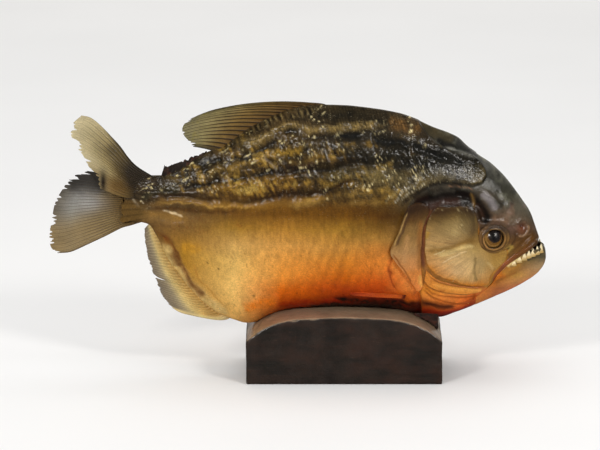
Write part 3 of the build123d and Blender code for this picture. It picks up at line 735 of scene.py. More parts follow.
gill_outline = (
    (31.8, 91.4), (29.2, 84), (26.8, 77.0), (23.4, 68.6), (25.4, 63.6), (29.6, 57.6), (34, 51.4),
    (37.4, 46.6), (39.6, 48.4), (39.9, 52.5), (38.9, 60.0), (38.7, 70.0), (39.9, 81.0), (42.6, 90.4),
    (39.0, 93.4), (35, 93.4),
)
cheek_outline = (
    (43.4, 87.6), (47.4, 91.2), (53.6, 91.2), (61.6, 91.3), (65.4, 88.4), (67.2, 83.0), (67.6, 77.0),
    (69.1, 71.0), (72.6, 67.6), (78, 66.6), (82.4, 67.4), (82.6, 63.6), (79.6, 59.6), (76.2, 56),
    (74.2, 52.6), (73.6, 49.0), (67.5, 48.4), (59.5, 50.2), (52.0, 53.0), (46.4, 56.0), (42.4, 60.3),
    (41.0, 66.1), (40.8, 74.0), (41.6, 82.0),
)


def head_relief(x, z, side):
    """Height of the head's features."""
    seed = side_seed(side)
    wx, wz = wander(x, z, 0.5, 5, seed)
    height = 0.2 * fractal(x, z, 4, seed + 1) + 0.12 * noise(x, z, 2.1, seed + 4) - 0.5
    height = raise_strokes(height, wx, wz, head_folds)
    height = height - 2.1 * smooth(-1.0, 3.4, border_gap(wx, wz, temple_zone))
    height = height + 0.45 * spot(x, z, (78, 88), (8, 7))
    # nostril
    height = height - 0.9 * spot(x, z, (90.5, 79.5), 1.1) + 0.4 * spot(x, z, (90.5, 78.6), 3.2)
    # socket behind the eye and its lids
    reach = np.hypot(x - EYE[0], z - EYE[1])
    height = height - 2.6 * smooth(7.0, 5.6, reach)
    # under the cheek plate
    return height - 0.35 * smooth(-0.5, 0.8, border_gap(x, z, cheek_outline)) * smooth(7, 8, reach)


def head_colour(x, z, side):
    """Painted colours of the head."""
    seed = side_seed(side)
    wx, wz = wander(x, z, 0.8, 5, seed)
    crown, snout = smooth(84, 94, wz), smooth(98, 88, wz) * smooth(74, 80, wz)
    colour = lay(
        ramps(wx, wz, head_ground),
        ((36, 37, 34), crown * smooth(0.05, 0.5, fractal(x, z, 4.6, seed + 4)) * 0.75),
        ((120, 120, 108), crown * smooth(0.1, 0.5, fractal(x, z, 2.6, seed + 5)) * 0.55),
        ((112, 86, 78), snout * smooth(0.15, 0.5, fractal(x, z, 4.5, seed + 6)) * 0.5),
    )
    # painted shade: the temple recess is laid near black, and its streaks go over that
    temple = smooth(-1.2, 1.6, border_gap(wx, wz, temple_zone))
    colour = lay(colour, ((22, 13, 7), temple))
    colour = lay_strokes(colour, wx, wz, temple_streaks, temple)
    colour = lay_strokes(colour, wx, wz, head_streaks, 1 - temple, power=2.6)
    # nostril, painted dark as shade in its pit, then the groove between the plates
    under = smooth(-1.5, 0, border_gap(x, z, cheek_outline)) + smooth(-1.5, 0, border_gap(x, z, gill_outline))
    groove = stroke(x, z, ((43.5, 91), (40.5, 84), (39.7, 77.5), (39.6, 70.5), (39.6, 63.5), (40.2, 58)), 1.5)
    colour = lay(
        colour,
        ((40, 14, 8), spot(x, z, (90.5, 79.5), 1.0)),
        ((112, 62, 34), 0.7 * spot(x, z, (90.5, 78.4), 2.6)),
        ((168, 118, 48), np.clip(under, 0, 1) * smooth(84, 78, z)),
        ((116, 70, 44), groove),
    )
    return shade(colour, 0.2 * fractal(x, z, 3, seed + 3) + 0.1 * noise(x, z, 0.9, seed + 6))


def throat_colour(x, z, side):
    """Painted colours of the throat, in bands that rise towards the jaw."""
    seed = side_seed(side)
    wx, wz = wander(x, z, 0.8, 5, seed)
    rise = wz - 0.2 * np.maximum(wx - 46, 0) + 0.04 * np.maximum(wx - 62, 0) ** 1.5
    rise = rise + 4.5 * spot(wx, wz, (56, 37), (9, 5))
    colour = mix_along(rise, (31, (104, 16, 2)), (35.5, (150, 46, 8)), (39, (200, 102, 36)),
                       (43, (214, 136, 62)), (47, (208, 138, 52)), (50, (196, 124, 36)))
    colour = lay(colour, ((168, 98, 50), smooth(62, 72, wx) * 0.7))
    for points, width, _ in throat_folds:
        colour = lay(colour, ((142, 74, 16), 0.75 * stroke(wx, wz, points, width)))
    rear = stroke(wx, wz, ((38, 57.5), (38.6, 53), (40.5, 48)), 0.8)
    # painted shadow along the throat's lower edge, where it meets the block
    bottom = stroke(wx, wz, ((36, 40), (42, 39.4), (50, 37.6), (57, 37)), 2.4, 1.2)
    colour = lay(colour, ((222, 160, 84), 0.7 * rear), ((38, 8, 2), 0.85 * bottom))
    return shade(colour, 0.14 * fractal(x, z, 5, seed + 3) + 0.08 * noise(x, z, 1.2, seed + 6))


# ------------------------------------------------------------ body and head
BODY_ROWS, BODY_COLUMNS = 400, 148    # along the fish, and up each flank
SNOUT_X = 99.75                  # the jaws go on from here
# block's arch: a shallow middle and rounder shoulders
crown_radius, shoulder_x, arch_end = 300.0, 25.0, 22.4


def arch_height(x):
    """Top of the block over a place along it."""
    x = np.abs(x)
    slope = math.asin(shoulder_x / crown_radius)
    start = block_high[2] - crown_radius * (1 - math.cos(slope))
    run, drop = block_high[0] - shoulder_x, start - arch_end
    radius = (run**2 + drop**2) / 2 / (drop * math.cos(slope) - run * math.sin(slope))
    centre = (shoulder_x - radius * math.sin(slope), start - radius * math.cos(slope))
    middle = block_high[2] - crown_radius + np.sqrt(crown_radius**2 - np.minimum(x, shoulder_x) ** 2)
    outer = centre[1] + np.sqrt(np.maximum(radius**2 - (x - centre[0]) ** 2, 0))
    return np.where(x < shoulder_x, middle, outer)


def skin_of(x, z, side):
    """Relief, colours, painted glints and scales of one side of trunk, throat and head."""
    gap = border_gap(x + 0.5 * fractal(x, z, 5, 2), z + 0.5 * fractal(x, z, 5, 3), scaled_zone)
    scaled = smooth(-0.5, 0.5, gap)
    throat = smooth(-0.8, 0.8, border_gap(x, z, throat_zone))
    high = smooth(90, 97, z)
    # the scaled skin stands above the temple and sinks towards the gill cover
    border = 0.75 * high * smooth(16, 1.0, gap) - 1.2 * (1 - high) * smooth(3.4, 0.6, gap)
    trunk = flank_relief(x, z, side) + border
    under_chin = raise_strokes(0.12 * fractal(x, z, 6, 1), x, z, throat_folds)
    ahead = head_relief(x, z, side) * (1 - throat) + under_chin * throat
    height = trunk * scaled + ahead * (1 - scaled)
    tint, fleck, scale = flank_colour(x, z, side)
    throat = throat[:, None]
    ahead = head_colour(x, z, side) * (1 - throat) + throat_colour(x, z, side) * throat
    colour = tint * scaled[:, None] + ahead * (1 - scaled[:, None])
    # a dark line where the thick skin ends: painted shadow under its raised edge
    colour = shade(colour, -0.6 * high * np.exp(-((gap / 0.5) ** 2)))
    return height, colour, fleck * scaled, scale * scaled


def make_body():
    """One grid over trunk, throat and head, split into three pieces along their borders."""
    x = TAIL_X + (SNOUT_X - TAIL_X) * np.linspace(0, 1, BODY_ROWS)
    mouth = x >= lip_line[0][0]
    roof = np.minimum(np.where(mouth, curve(lip_line, x), curve(belly_line, x)), curve(back_line, x) - 0.2)
    low = np.where(mouth, level_angle(x, roof), -HALF_TURN / 2)
    rise = low[:, None] + (HALF_TURN / 2 - low[:, None]) * np.linspace(0, 1, BODY_COLUMNS)[None, :]
    angle = np.concatenate([rise, rise[:, ::-1][:, 1:]], axis=1)
    side = np.where(np.arange(angle.shape[1]) < BODY_COLUMNS, RIGHT, LEFT)[None, :] + 0 * angle
    x = x[:, None] + 0 * angle
    z = body_level(x, angle)
    # the skin ends unevenly over the root of the tail fin
    uneven = 0.2 + noise(z, side * 3.0, 3.4, 2) + 0.2 * noise(z, side * 3.0, 1.1, 4)
    x = x + 3.4 * smooth(-100, TAIL_X, x) * uneven
    points = np.stack([x, side * flank(x, angle), z], -1)
    outward = np.stack([0 * x, side * np.cos(angle), np.sin(angle)], -1)
    height, fleck, scale = np.zeros(x.shape), np.zeros(x.shape), np.zeros(x.shape)
    colour = np.zeros(x.shape + (3,))
    for each in (RIGHT, LEFT):
        own = side == each
        height[own], colour[own], fleck[own], scale[own] = skin_of(x[own], z[own], each)
    # quiet at the back and belly ridges, where both flanks meet
    height *= 0.2 + 0.8 * smooth(0, 0.4, np.cos(angle))
    points = points + grid_normals(points, outward) * height[..., None]
    # the belly rests on the block
    rest = arch_height(points[..., 0]) + 0.05
    over_block = (np.abs(points[..., 0]) < block_high[0]) & (points[..., 2] < rest)
    points[..., 2] = np.where(over_block, rest, points[..., 2])
    normals = grid_normals(points, outward)
    # the seam between the flanks shares one normal
    normals[:, 0] = normals[:, -1] = unit(normals[:, 0] + normals[:, -1])
    rows, columns = x.shape
    faces = np.array(grid_faces(rows, columns, wrap=True, flip=True))
    middle_x, middle_z = x.ravel()[faces].mean(1), z.ravel()[faces].mean(1)
    in_trunk = border_gap(middle_x, middle_z, scaled_zone) > 0
    in_throat = ~in_trunk & (border_gap(middle_x, middle_z, throat_zone) > 0)
    pieces = []
    for name, chosen, caps in (
        ("fish_skin", in_trunk, [list(range(columns))[::-1]]),
        ("fish_throat", in_throat, []),
        ("fish_head", ~in_trunk & ~in_throat, [end_cap(rows, columns)]),
    ):
        own_faces = faces[chosen].tolist() + caps
        used = np.unique(np.concatenate(own_faces))
        new_index = np.full(rows * columns, -1)
        new_index[used] = np.arange(len(used))
        piece = make_object(name, points.reshape(-1, 3)[used], [new_index[f].tolist() for f in own_faces],
                            colour.reshape(-1, 3)[used], fleck=fleck.ravel()[used], scale=scale.ravel()[used])
        piece.data.normals_split_custom_set_from_vertices(normals.reshape(-1, 3)[used].tolist())
        pieces.append(piece)
    return pieces


# --------------------------------------------------- plates, lips and lids
cheek_focus = (70.0, 70.0)       # the cheek's fine lines spread from here
cheek_folds = (
    (((40, 68), (49, 68.6), (54, 70), (59.5, 72.4), (66, 73.6)), 1.5, -0.5),
    (((42, 65.4), (50, 66.2), (58, 69), (66, 71)), 1.6, 0.35),
    (((42, 61), (46, 56), (53, 52.6), (62, 50), (72, 49.6)), 1.2, 0.35),
)
cheek_ground = (
    (43, ((53, (190, 118, 30)), (58, (180, 120, 42)), (62, (182, 138, 84)), (69, (172, 138, 84)),
     (75, (170, 140, 92)), (81, (138, 112, 66)), (85, (98, 74, 34)), (89, (66, 42, 14)))),
    (57, ((49, (172, 112, 26)), (53, (188, 140, 76)), (57, (202, 168, 122)), (65, (188, 160, 114)),
     (69, (174, 146, 98)), (73, (160, 130, 84)), (78, (158, 136, 92)), (82, (146, 126, 84)),
     (86, (112, 92, 52)), (89, (78, 58, 26)))),
    (65, ((49, (172, 112, 30)), (53, (186, 152, 102)), (61, (190, 162, 116)), (69, (172, 146, 92)),
     (74, (130, 102, 52)), (79, (98, 78, 46)), (85, (86, 70, 40)), (89, (54, 38, 16)))),
    (76, ((50, (178, 128, 60)), (57, (164, 128, 70)), (61, (164, 132, 68)), (66, (156, 122, 58)))),
)
cheek_streaks = (
    (((41, 68.4), (49, 69), (54, 70.4), (60, 73), (67, 74.4)), 1.3, (134, 102, 42), 0.7),
    (((46, 66.5), (52, 67.4), (60, 70.6), (66, 71.6)), 1.2, (206, 184, 130), 0.6),
    (((49, 62), (56, 66), (62, 68.6)), 0.35, (232, 214, 176), 0.4),
    (((44, 66.6), (49, 68), (52, 69.2)), 0.3, (224, 208, 166), 0.4),
    (((72, 62), (74.6, 59.4), (76, 57)), 0.7, (204, 184, 136), 0.35),
    # painted shadow along the step in the cheek plate
    (((66.4, 66), (66.2, 61), (66, 56), (67, 50.6)), 0.8, (124, 104, 60), 0.7),
    (((68.4, 64), (69.4, 60), (69, 55)), 2.0, (160, 138, 92), 0.6),
    (((41.6, 75), (42.6, 79)), 1.2, (168, 128, 28), 0.6),
    (((40.6, 64), (42, 58.6), (47, 54.6), (54, 51.6), (63, 49.4), (74, 49)), 1.5, (184, 118, 26), 0.9),
    (((41, 61), (44.5, 57), (51, 53.6), (60, 51)), 0.5, (110, 70, 18), 0.6),
)
gill_folds = (
    (((37, 90), (35, 80), (34, 70), (36, 56)), 3.0, 0.3),
    (((24.5, 66), (28, 61.6), (31.4, 56.4), (34.5, 51.4)), 0.7, -0.4),
    (((30.6, 90), (28.2, 83), (26, 76), (24.6, 69)), 0.7, 0.25),
)
gill_streaks = (
    (((38.6, 86), (38, 76), (37.8, 66), (38, 58)), 1.3, (140, 94, 40), 0.8),
    (((31.6, 90), (29.2, 83), (27, 77), (25, 71)), 0.45, (190, 160, 104), 0.5),
    (((30, 62), (31.4, 70), (32.4, 78)), 1.4, (178, 138, 92), 0.5),
    (((33, 90), (30.8, 83), (28.6, 77), (26.2, 71)), 0.8, (78, 52, 30), 0.75),
    (((24.5, 67), (28, 61.6), (31.4, 56.4), (34.5, 50.6)), 0.5, (146, 84, 34), 0.8),
    (((38.4, 56), (38.6, 52), (39.5, 49)), 0.9, (214, 164, 84), 0.8),
)
band_upper = ((41.4, 58.2), (46.4, 53.6), (53.4, 50.8), (63.6, 48.7), (73.4, 47.9))
band_lower = ((40.6, 52.4), (43.7, 48.8), (51.3, 45.8), (62, 44.4), (72.6, 45.4))
band_streaks = (
    (((44, 51), (52, 48.6), (62, 47), (73, 46)), 1.0, (220, 160, 76), 0.8),
    (((42, 56), (47, 52.4), (54, 50), (64, 48.4), (73, 47.6)), 0.6, (142, 82, 16), 0.8),
)


def plate(name, outline, side, relief, tint, focus, edge_lift):
    """A thin plate lying on the flank, with a rounded edge that tucks in all round."""
    spokes, rings = 440, 80
    rounding, tuck = 0.9, 1.6
    edge = round_outline(outline, spokes)
    edge = edge + 0.25 * np.stack([noise(*edge.T, 3, 3), noise(*edge.T, 3, 4)], -1)
    reach = np.linspace(0, 1, rings)[:, None] ** 0.8
    x = focus[0] + (edge[None, :, 0] - focus[0]) * reach
    z = focus[1] + (edge[None, :, 1] - focus[1]) * reach
    inward = np.clip(border_gap(x, z, edge) / rounding, 0, 1)
    height = relief(x, z, side) + edge_lift * np.sqrt(inward * (2 - inward))
    # the last ring goes down into the body under the edge
    x, z, height = (np.concatenate([part, part[-1:]], 0) for part in (x, z, height))
    height[-1] -= tuck
    faces = grid_faces(rings + 1, spokes, wrap=True, flip=side == RIGHT)
    return make_object(name, surface(x, z, side, height), faces, tint(x, z, side))


def band(name, upper, lower, side, relief, tint):
    """A narrow plate between an upper and a lower edge line."""
    rows, columns = 140, 26
    top, bottom = even_path(upper, rows), even_path(lower, rows)
    across, along = np.linspace(0, 1, columns)[None, :], np.linspace(0, 1, rows)[:, None]
    x = bottom[:, :1] + (top[:, :1] - bottom[:, :1]) * across
    z = bottom[:, 1:] + (top[:, 1:] - bottom[:, 1:]) * across
    edge = np.minimum(np.minimum(across, 1 - across) * 9, np.minimum(along, 1 - along) * 14)
    edge = np.clip(edge, 0, 1)
    height = relief(x, z, side) + 0.35 * np.sqrt(edge * (2 - edge)) - 1.0 * (edge <= 0)
    faces = grid_faces(rows, columns, flip=side == LEFT)
    return make_object(name, surface(x, z, side, height), faces, tint(x, z, side))


def from_focus(x, z):
    """Angle and distance round the cheek's focus."""
    dx, dz = x - cheek_focus[0], z - cheek_focus[1]
    return np.arctan2(dz, dx), np.hypot(dx, dz)


def cheek_relief(x, z, side):
    """Height of the cheek plate's folds."""
    seed = side_seed(side)
    angle, radius = from_focus(x, z)
    height = 0.1 * fractal(x, z, 7, seed) + 0.05 * noise(angle * 26, radius * 0.12, 1, seed)
    height = raise_strokes(height, x, z, cheek_folds)
    height = height - 0.5 * smooth(65.2, 67.2, x + 0.6 * noise(x, z, 4, 2)) * smooth(69, 65, z)
    return height + 0.3 * spot(x, z, (52, 80), (12, 10)) + 0.3 * spot(x, z, (54, 60), (12, 7)) - 0.2


def cheek_colour(x, z, side):
    """Painted colours of the cheek plate, with fine lines spreading from the eye."""
    seed = side_seed(side)
    angle, radius = from_focus(x, z)
    wx, wz = wander(x, z, 1.2, 6, seed)
    colour = lay_strokes(ramps(wx, wz, cheek_ground), wx, wz, cheek_streaks)
    lines = noise(angle * 26, radius * 0.12, 1, seed + 1)
    lines = lines + 0.7 * noise(angle * 58, radius * 0.25, 1, seed + 2)
    colour = shade(colour, 0.11 * lines * smooth(4, 12, radius) + 0.16 * fractal(x, z, 4, seed + 3))
    fibre = smooth(0.45, 0.9, noise(angle * 46, radius * 0.4, 1, seed + 5)) * smooth(8, 16, radius)
    return lay(colour, ((214, 198, 152), 0.3 * fibre * smooth(-0.2, 0.4, noise(x, z, 6, seed + 6))))


def gill_relief(x, z, side):
    """Height of the gill cover's folds."""
    return raise_strokes(0.12 * fractal(x, z, 7, side_seed(side)) + 0.25, x, z, gill_folds)


def gill_colour(x, z, side):
    """Painted colours of the gill cover."""
    seed = side_seed(side)
    wx, wz = wander(x, z, 1.0, 6, seed)
    colour = mix_along(wz + 0.25 * (34 - wx), (49, (212, 134, 68)), (57, (198, 130, 62)),
                       (61, (190, 134, 80)), (69, (164, 128, 82)), (77, (136, 106, 58)),
                       (81, (126, 98, 54)), (85, (98, 70, 30)), (90, (64, 42, 18)))
    colour = lay_strokes(colour, wx, wz, gill_streaks)
    lines = noise((x - 0.3 * z) * 1.6, z * 0.3, 1, seed + 1)
    return shade(colour, 0.1 * lines + 0.16 * fractal(x, z, 4, seed + 3))


def band_relief(x, z, side):
    """Height of the crescent under the cheek plate, which sinks towards the jaw."""
    return 0.05 + 0.1 * fractal(x, z, 5, 1) - 0.9 * smooth(67, 73, x)


def band_colour(x, z, side):
    """Painted colours of the crescent under the cheek plate."""
    seed = side_seed(side)
    colour = lay(even_colour((206, 138, 56), x), ((182, 116, 58), 0.9 * smooth(62, 71, x)))
    colour = lay_strokes(colour, x, z, band_streaks)
    colour = lay(colour, ((150, 86, 24), smooth(0.1, 0.5, fractal(x, z, 3, seed + 2)) * 0.5))
    return shade(colour, 0.12 * fractal(x, z, 3, seed + 3))


def tube(path, wide, high, sections=20):
    """Rings of a roll of skin along a 3-D path; wide and high are its half sizes at each point."""
    ahead = unit(np.gradient(path, axis=0))
    up = unit(np.array([0, 0, 1.0]) - ahead * ahead[:, 2:])
    across = np.cross(ahead, up)
    turn = np.linspace(0, FULL_TURN, sections, endpoint=False)[None, :, None]
    return (path[:, None] + across[:, None] * np.cos(turn) * wide[:, None, None]
            + up[:, None] * np.sin(turn) * high[:, None, None])


def mouth_line(line, x_from, x_to, inset, count):
    """A line round the mouth: right corner, front, left corner, as 3-D points."""
    x = np.linspace(x_from, x_to, count)
    z = curve(line, x)
    y = flank(x, level_angle(x, z)) - inset
    right = np.stack([x, -y, z], -1)
    turn = np.linspace(0, HALF_TURN, 24)[1:-1]
    front = np.stack([x[-1] + 0.15 * y[-1] * np.sin(turn), -y[-1] * np.cos(turn), z[-1] + 0 * turn], -1)
    left = right[::-1] * np.array([1, -1, 1])
    return np.concatenate([right, front, left], 0)


def make_upper_jaw():
    """The upper lip: a roll of skin round the mouth, thin at both corners."""
    path = mouth_line(lip_line, 73.5, 96.8, 0.9, 130)
    path = even_path(path[::3], 300)
    path[:, 2] += 1.3
    body = 1 - np.linspace(-1, 1, len(path)) ** 6
    wide = 0.35 + 1.0 * body + 0.1 * noise(path[:, 0], path[:, 1], 2.5, 2)
    high = 0.4 + 1.2 * body + 0.12 * noise(path[:, 0], path[:, 1], 3, 3)
    points = tube(path, wide, high)
    rings, sections = points.shape[:2]
    x, z = points[..., 0], points[..., 2]
    colour = lay(
        even_colour((112, 72, 30), x),
        ((140, 82, 50), smooth(90, 80, x) * 0.8),
        ((76, 58, 36), smooth(92, 97, x) * 0.7),
    )
    faces = grid_faces(rings, sections, wrap=True) + [list(range(sections))[::-1], end_cap(rings, sections)]
    return make_object("upper_jaw_lip", points, faces, shade(colour, 0.25 * fractal(x, z, 2, 3)))


jaw_ground = (
    (76, ((45, (166, 100, 58)), (49, (160, 102, 40)), (53, (166, 102, 18)))),
    (88, ((46, (196, 128, 84)), (50, (188, 138, 84)), (53, (174, 134, 68)), (57, (144, 102, 46)),
     (61, (150, 118, 60)))),
    (100, ((51, (196, 142, 98)), (57, (174, 146, 110)), (60, (130, 112, 84)), (62, (92, 84, 64)),
     (66, (104, 94, 72)))),
)
jaw_folds = (
    (((76, 50.4), (80, 54), (85, 57.4), (91, 60.8), (97, 64.2)), 1.5, 0.5),
    (((75.5, 48), (82, 51.4), (90, 55), (97, 58)), 1.8, -0.45),
    (((78, 46.6), (86, 50), (94, 54)), 1.6, 0.3),
    (((96, 65), (99.5, 66.4), (102.4, 66)), 1.3, 0.6),
)
jaw_streaks = (
    (((74, 49), (78, 52.6), (82, 55.4)), 2.4, (190, 112, 20), 0.75),
    (((80, 54.4), (85, 57.6), (90, 60)), 1.8, (178, 132, 58), 0.6),
    (((77, 50), (82, 52.6), (88, 55.6)), 1.0, (146, 96, 36), 0.6),
    (((82, 59), (86, 61.6), (90, 63.6)), 1.5, (214, 194, 142), 0.95),
    (((92, 65.4), (96, 66.6), (100, 67.4)), 1.2, (44, 28, 14), 0.9),
    (((84, 58.6), (87, 60), (90, 61.4)), 0.6, (120, 96, 50), 0.7),
    (((92.6, 61.6), (97, 63.2), (101, 64.6)), 0.9, (70, 66, 52), 0.85),
    (((97, 66), (100, 66.8), (102.4, 65)), 1.4, (84, 78, 60), 0.8),
)


def lower_jaw_half(x):
    """Right half of the jaw's sections: up the outside, over a rounded rim, down to the mouth floor."""
    outer, inner = 60, 22
    rim, keel = curve(gum_line, x), curve(belly_line, x)
    rise = -HALF_TURN / 2 + (level_angle(x, rim)[:, None] + HALF_TURN / 2) * np.linspace(0, 1, outer)[None, :]
    outside_x = x[:, None] + 0 * rise
    outside_y, outside_z = flank(outside_x, rise), body_level(outside_x, rise)
    rim_y, rim_z = outside_y[:, -1:], outside_z[:, -1:]
    down = np.linspace(0, 1, inner)[None, 1:]
    wall = np.minimum(2.0, 0.6 * rim_y)
    depth = np.minimum(4.5, 0.5 * (rim_z - keel[:, None]))
    over = np.clip(down * 3.2, 0, 1)
    inside_y = rim_y - wall * over - (rim_y - wall) * smooth(0.28, 1, down)
    inside_z = rim_z + 0.5 * np.sin(over * HALF_TURN) - depth * smooth(0.25, 0.8, down)
    y = np.concatenate([outside_y, inside_y], 1)
    z = np.concatenate([outside_z, inside_z], 1)
    return np.stack([x[:, None] + 0 * y, -y, z], -1), rim_z, outer


def make_lower_jaw():
    """Closed jaw: outside flanks round the chin, a rounded rim and a hollow mouth floor."""
    rows, start, tip = 150, 63.0, 103.2
    x = start + (tip - start) * (1 - (1 - np.linspace(0, 1, rows)) ** 1.25)
    right, rim_z, outer = lower_jaw_half(x)
    left = (right * np.array([1, -1, 1]))[:, ::-1]
    points = np.concatenate([right[:, :-1], left[:, :-1]], 1)
    columns = points.shape[1]
    outside = np.zeros((1, columns), bool)
    outside[:, :outer] = outside[:, -outer + 1:] = True
    x, z = points[..., 0], points[..., 2]
    away = (points - points.mean(1, keepdims=True)) * np.array([0, 1, 1])
    height = 0.1 * fractal(x, z, 4, 2) - 0.7 * smooth(68, 64, x)
    height = raise_strokes(height, x, z, jaw_folds) * outside
    points = points + grid_normals(points, away) * height[..., None]
    wx, wz = wander(x, z, 0.7, 4)
    colour = lay_strokes(ramps(wx, wz, jaw_ground), wx, wz, jaw_streaks, power=2.6)
    # orange along the keel and at the corner, pale gum over the rim, then the mouth floor painted darker the
    # deeper it lies, as shade in the hollow
    hollow = rim_z - points[..., 2]
    colour = lay(
        colour,
        ((214, 116, 74), 0.55 * smooth(3.0, 0.5, z - curve(belly_line, x)) * smooth(100, 90, x)),
        ((204, 130, 56), 0.8 * smooth(79, 70, wx)),
        ((212, 192, 146), ~outside * smooth(78, 84, x) * smooth(93, 90, x)),
        ((40, 20, 12), ~outside * smooth(-0.2, 1.0, hollow) * 0.95),
    )
    colour = shade(colour, 0.14 * fractal(x, z, 3, 4) + 0.08 * noise(x, z, 0.9, 5))
    faces = grid_faces(rows, columns, wrap=True, flip=True)
    faces += [list(range(columns)), end_cap(rows, columns)[::-1]]
    return make_object("lower_jaw_skin", points, faces, colour)


TOOTH_STEPS, TOOTH_SIDES = 9, 12


def tooth_points(base, up, outward, along, width, height):
    """One triangular blade: lens-shaped sections that narrow to the tip."""
    thick, lean, curl, buried = 1.2, 0.25, 0.35, 0.25
    t = np.linspace(0, 1, TOOTH_STEPS)[:, None, None]
    turn = np.linspace(0, FULL_TURN, TOOTH_SIDES, endpoint=False)[None, :, None]
    grow = (1 - t) ** 0.85
    half, deep = width / 2 * grow + 0.02, thick / 2 * (1 - 0.75 * t) * (0.35 + 0.65 * grow)
    middle = base + up * height * (t - buried) + along * lean * t - outward * curl * t**2
    return middle + along * half * np.cos(turn) + outward * deep * np.sin(turn)


def teeth(name, line, ends, inset, pointing, shares, width, height, rooted=0.0):
    """A row of teeth round a jaw on both flanks, rooted a little way behind its edge line."""
    points, faces = [], []
    for side in (RIGHT, LEFT):
        for share in shares:
            x = np.array(ends[0] + (ends[1] - ends[0]) * share)
            z = curve(line, x) - rooted * pointing
            y = max(float(flank(x, level_angle(x, z))) - inset, 0.8)
            facing = math.radians(10 + 30 * share**2)
            outward = np.array([math.sin(facing), side * math.cos(facing), 0])
            along = np.array([math.cos(facing), -side * math.sin(facing), 0])
            size = height * (0.7 + 0.3 * share) * (1 + 0.12 * noise(x, side * 7.0, 1.3, 2))
            start = len(points) * TOOTH_STEPS * TOOTH_SIDES
            faces += grid_faces(TOOTH_STEPS, TOOTH_SIDES, wrap=True, offset=start)
            caps = [list(range(TOOTH_SIDES))[::-1], end_cap(TOOTH_STEPS, TOOTH_SIDES)]
            faces += [[i + start for i in cap] for cap in caps]
            points.append(tooth_points(np.array([x, side * y, z]), np.array([0, 0, pointing]), outward, along,
                                       width * (0.8 + 0.2 * share), size))
    points = np.array(points)
    rise = np.linspace(0, 1, TOOTH_STEPS)[None, :, None] + np.zeros(points.shape[:3])
    colour = lay(even_colour((188, 160, 104), rise), ((232, 218, 184), smooth(0.1, 0.6, rise)))
    return make_object(name, points, faces, colour)


def make_eye(side, name):
    """A glossy glass eye facing out of the flank, with an iris painted round a dark pupil, and painted light,
    shade and a reflection over them.
    """
    rings, spokes = 60, 96
    facing = unit(np.array([0.2, side, 0.02]))
    right = unit(np.cross(facing, [0, 0, 1.0]))
    up = np.cross(right, facing)
    middle = side_points(*EYE, side) + facing * (0.9 - EYE_RADIUS)
    tilt = np.linspace(0, math.radians(100), rings)[:, None]
    turn = np.linspace(0, FULL_TURN, spokes, endpoint=False)[None, :]
    # cornea swells a little over the iris
    swell = 1 + 0.05 * np.exp(-((tilt / 0.42) ** 4))
    out = np.sin(tilt) * EYE_RADIUS
    points = (middle + facing * (np.cos(tilt) * EYE_RADIUS * swell)[..., None]
              + right * (out * np.cos(turn))[..., None] + up * (out * np.sin(turn))[..., None])
    r, spoke = np.broadcast_arrays(out, turn)
    forward, upward = side * r * np.cos(spoke), r * np.sin(spoke)
    # painted light and shade: the iris is lighter at the lower rear and darker at the upper front, in the
    # brow's shadow
    lit = smooth(-0.9, 0.7, -0.7 * side * np.cos(spoke) - 0.7 * np.sin(spoke))
    rays = np.sin(spoke * 37 + 3 * np.sin(spoke * 5)) * 0.5 + np.sin(spoke * 61) * 0.3
    eye_blotches = fractal(forward, upward, 2.2, 3)
    iris = lay(
        even_colour((126, 92, 42), r),
        ((206, 164, 106), lit * smooth(3.2, 4.4, r) * 0.9),
        ((78, 66, 60), (1 - lit) * smooth(3.6, 4.8, r) * 0.85),
    )
    # a dark pupil, looking up and ahead, under a pale painted reflection
    off_pupil = np.hypot(forward - 0.4, upward - 1.5) + 0.25 * eye_blotches
    colour = lay(
        shade(iris, 0.07 * rays + 0.18 * eye_blotches),
        ((60, 38, 16), smooth(5.1, 5.5, r)),
        ((44, 34, 34), smooth(3.9, 3.0, off_pupil)),
        ((20, 18, 21), smooth(3.0, 1.4, off_pupil)),
        ((128, 124, 134), 0.6 * spot(forward, upward, (1.4, 1.8), (0.9, 1.4)) * (0.7 + eye_blotches)),
    )
    faces = grid_faces(rings, spokes, wrap=True, flip=side == RIGHT) + [end_cap(rings, spokes)]
    return make_object(name, points, faces, colour)


# (distance from the eye's middle, height above the flank) from outside to inside
lid_profile = (
    (7.9, -1.2), (7.7, 0.0), (7.3, 0.45), (6.9, 0.5), (6.5, 0.4), (6.2, 0.62), (5.8, 0.85), (5.4, 0.86),
    (5.05, 0.62), (4.9, 0.2), (4.9, -0.6),
)


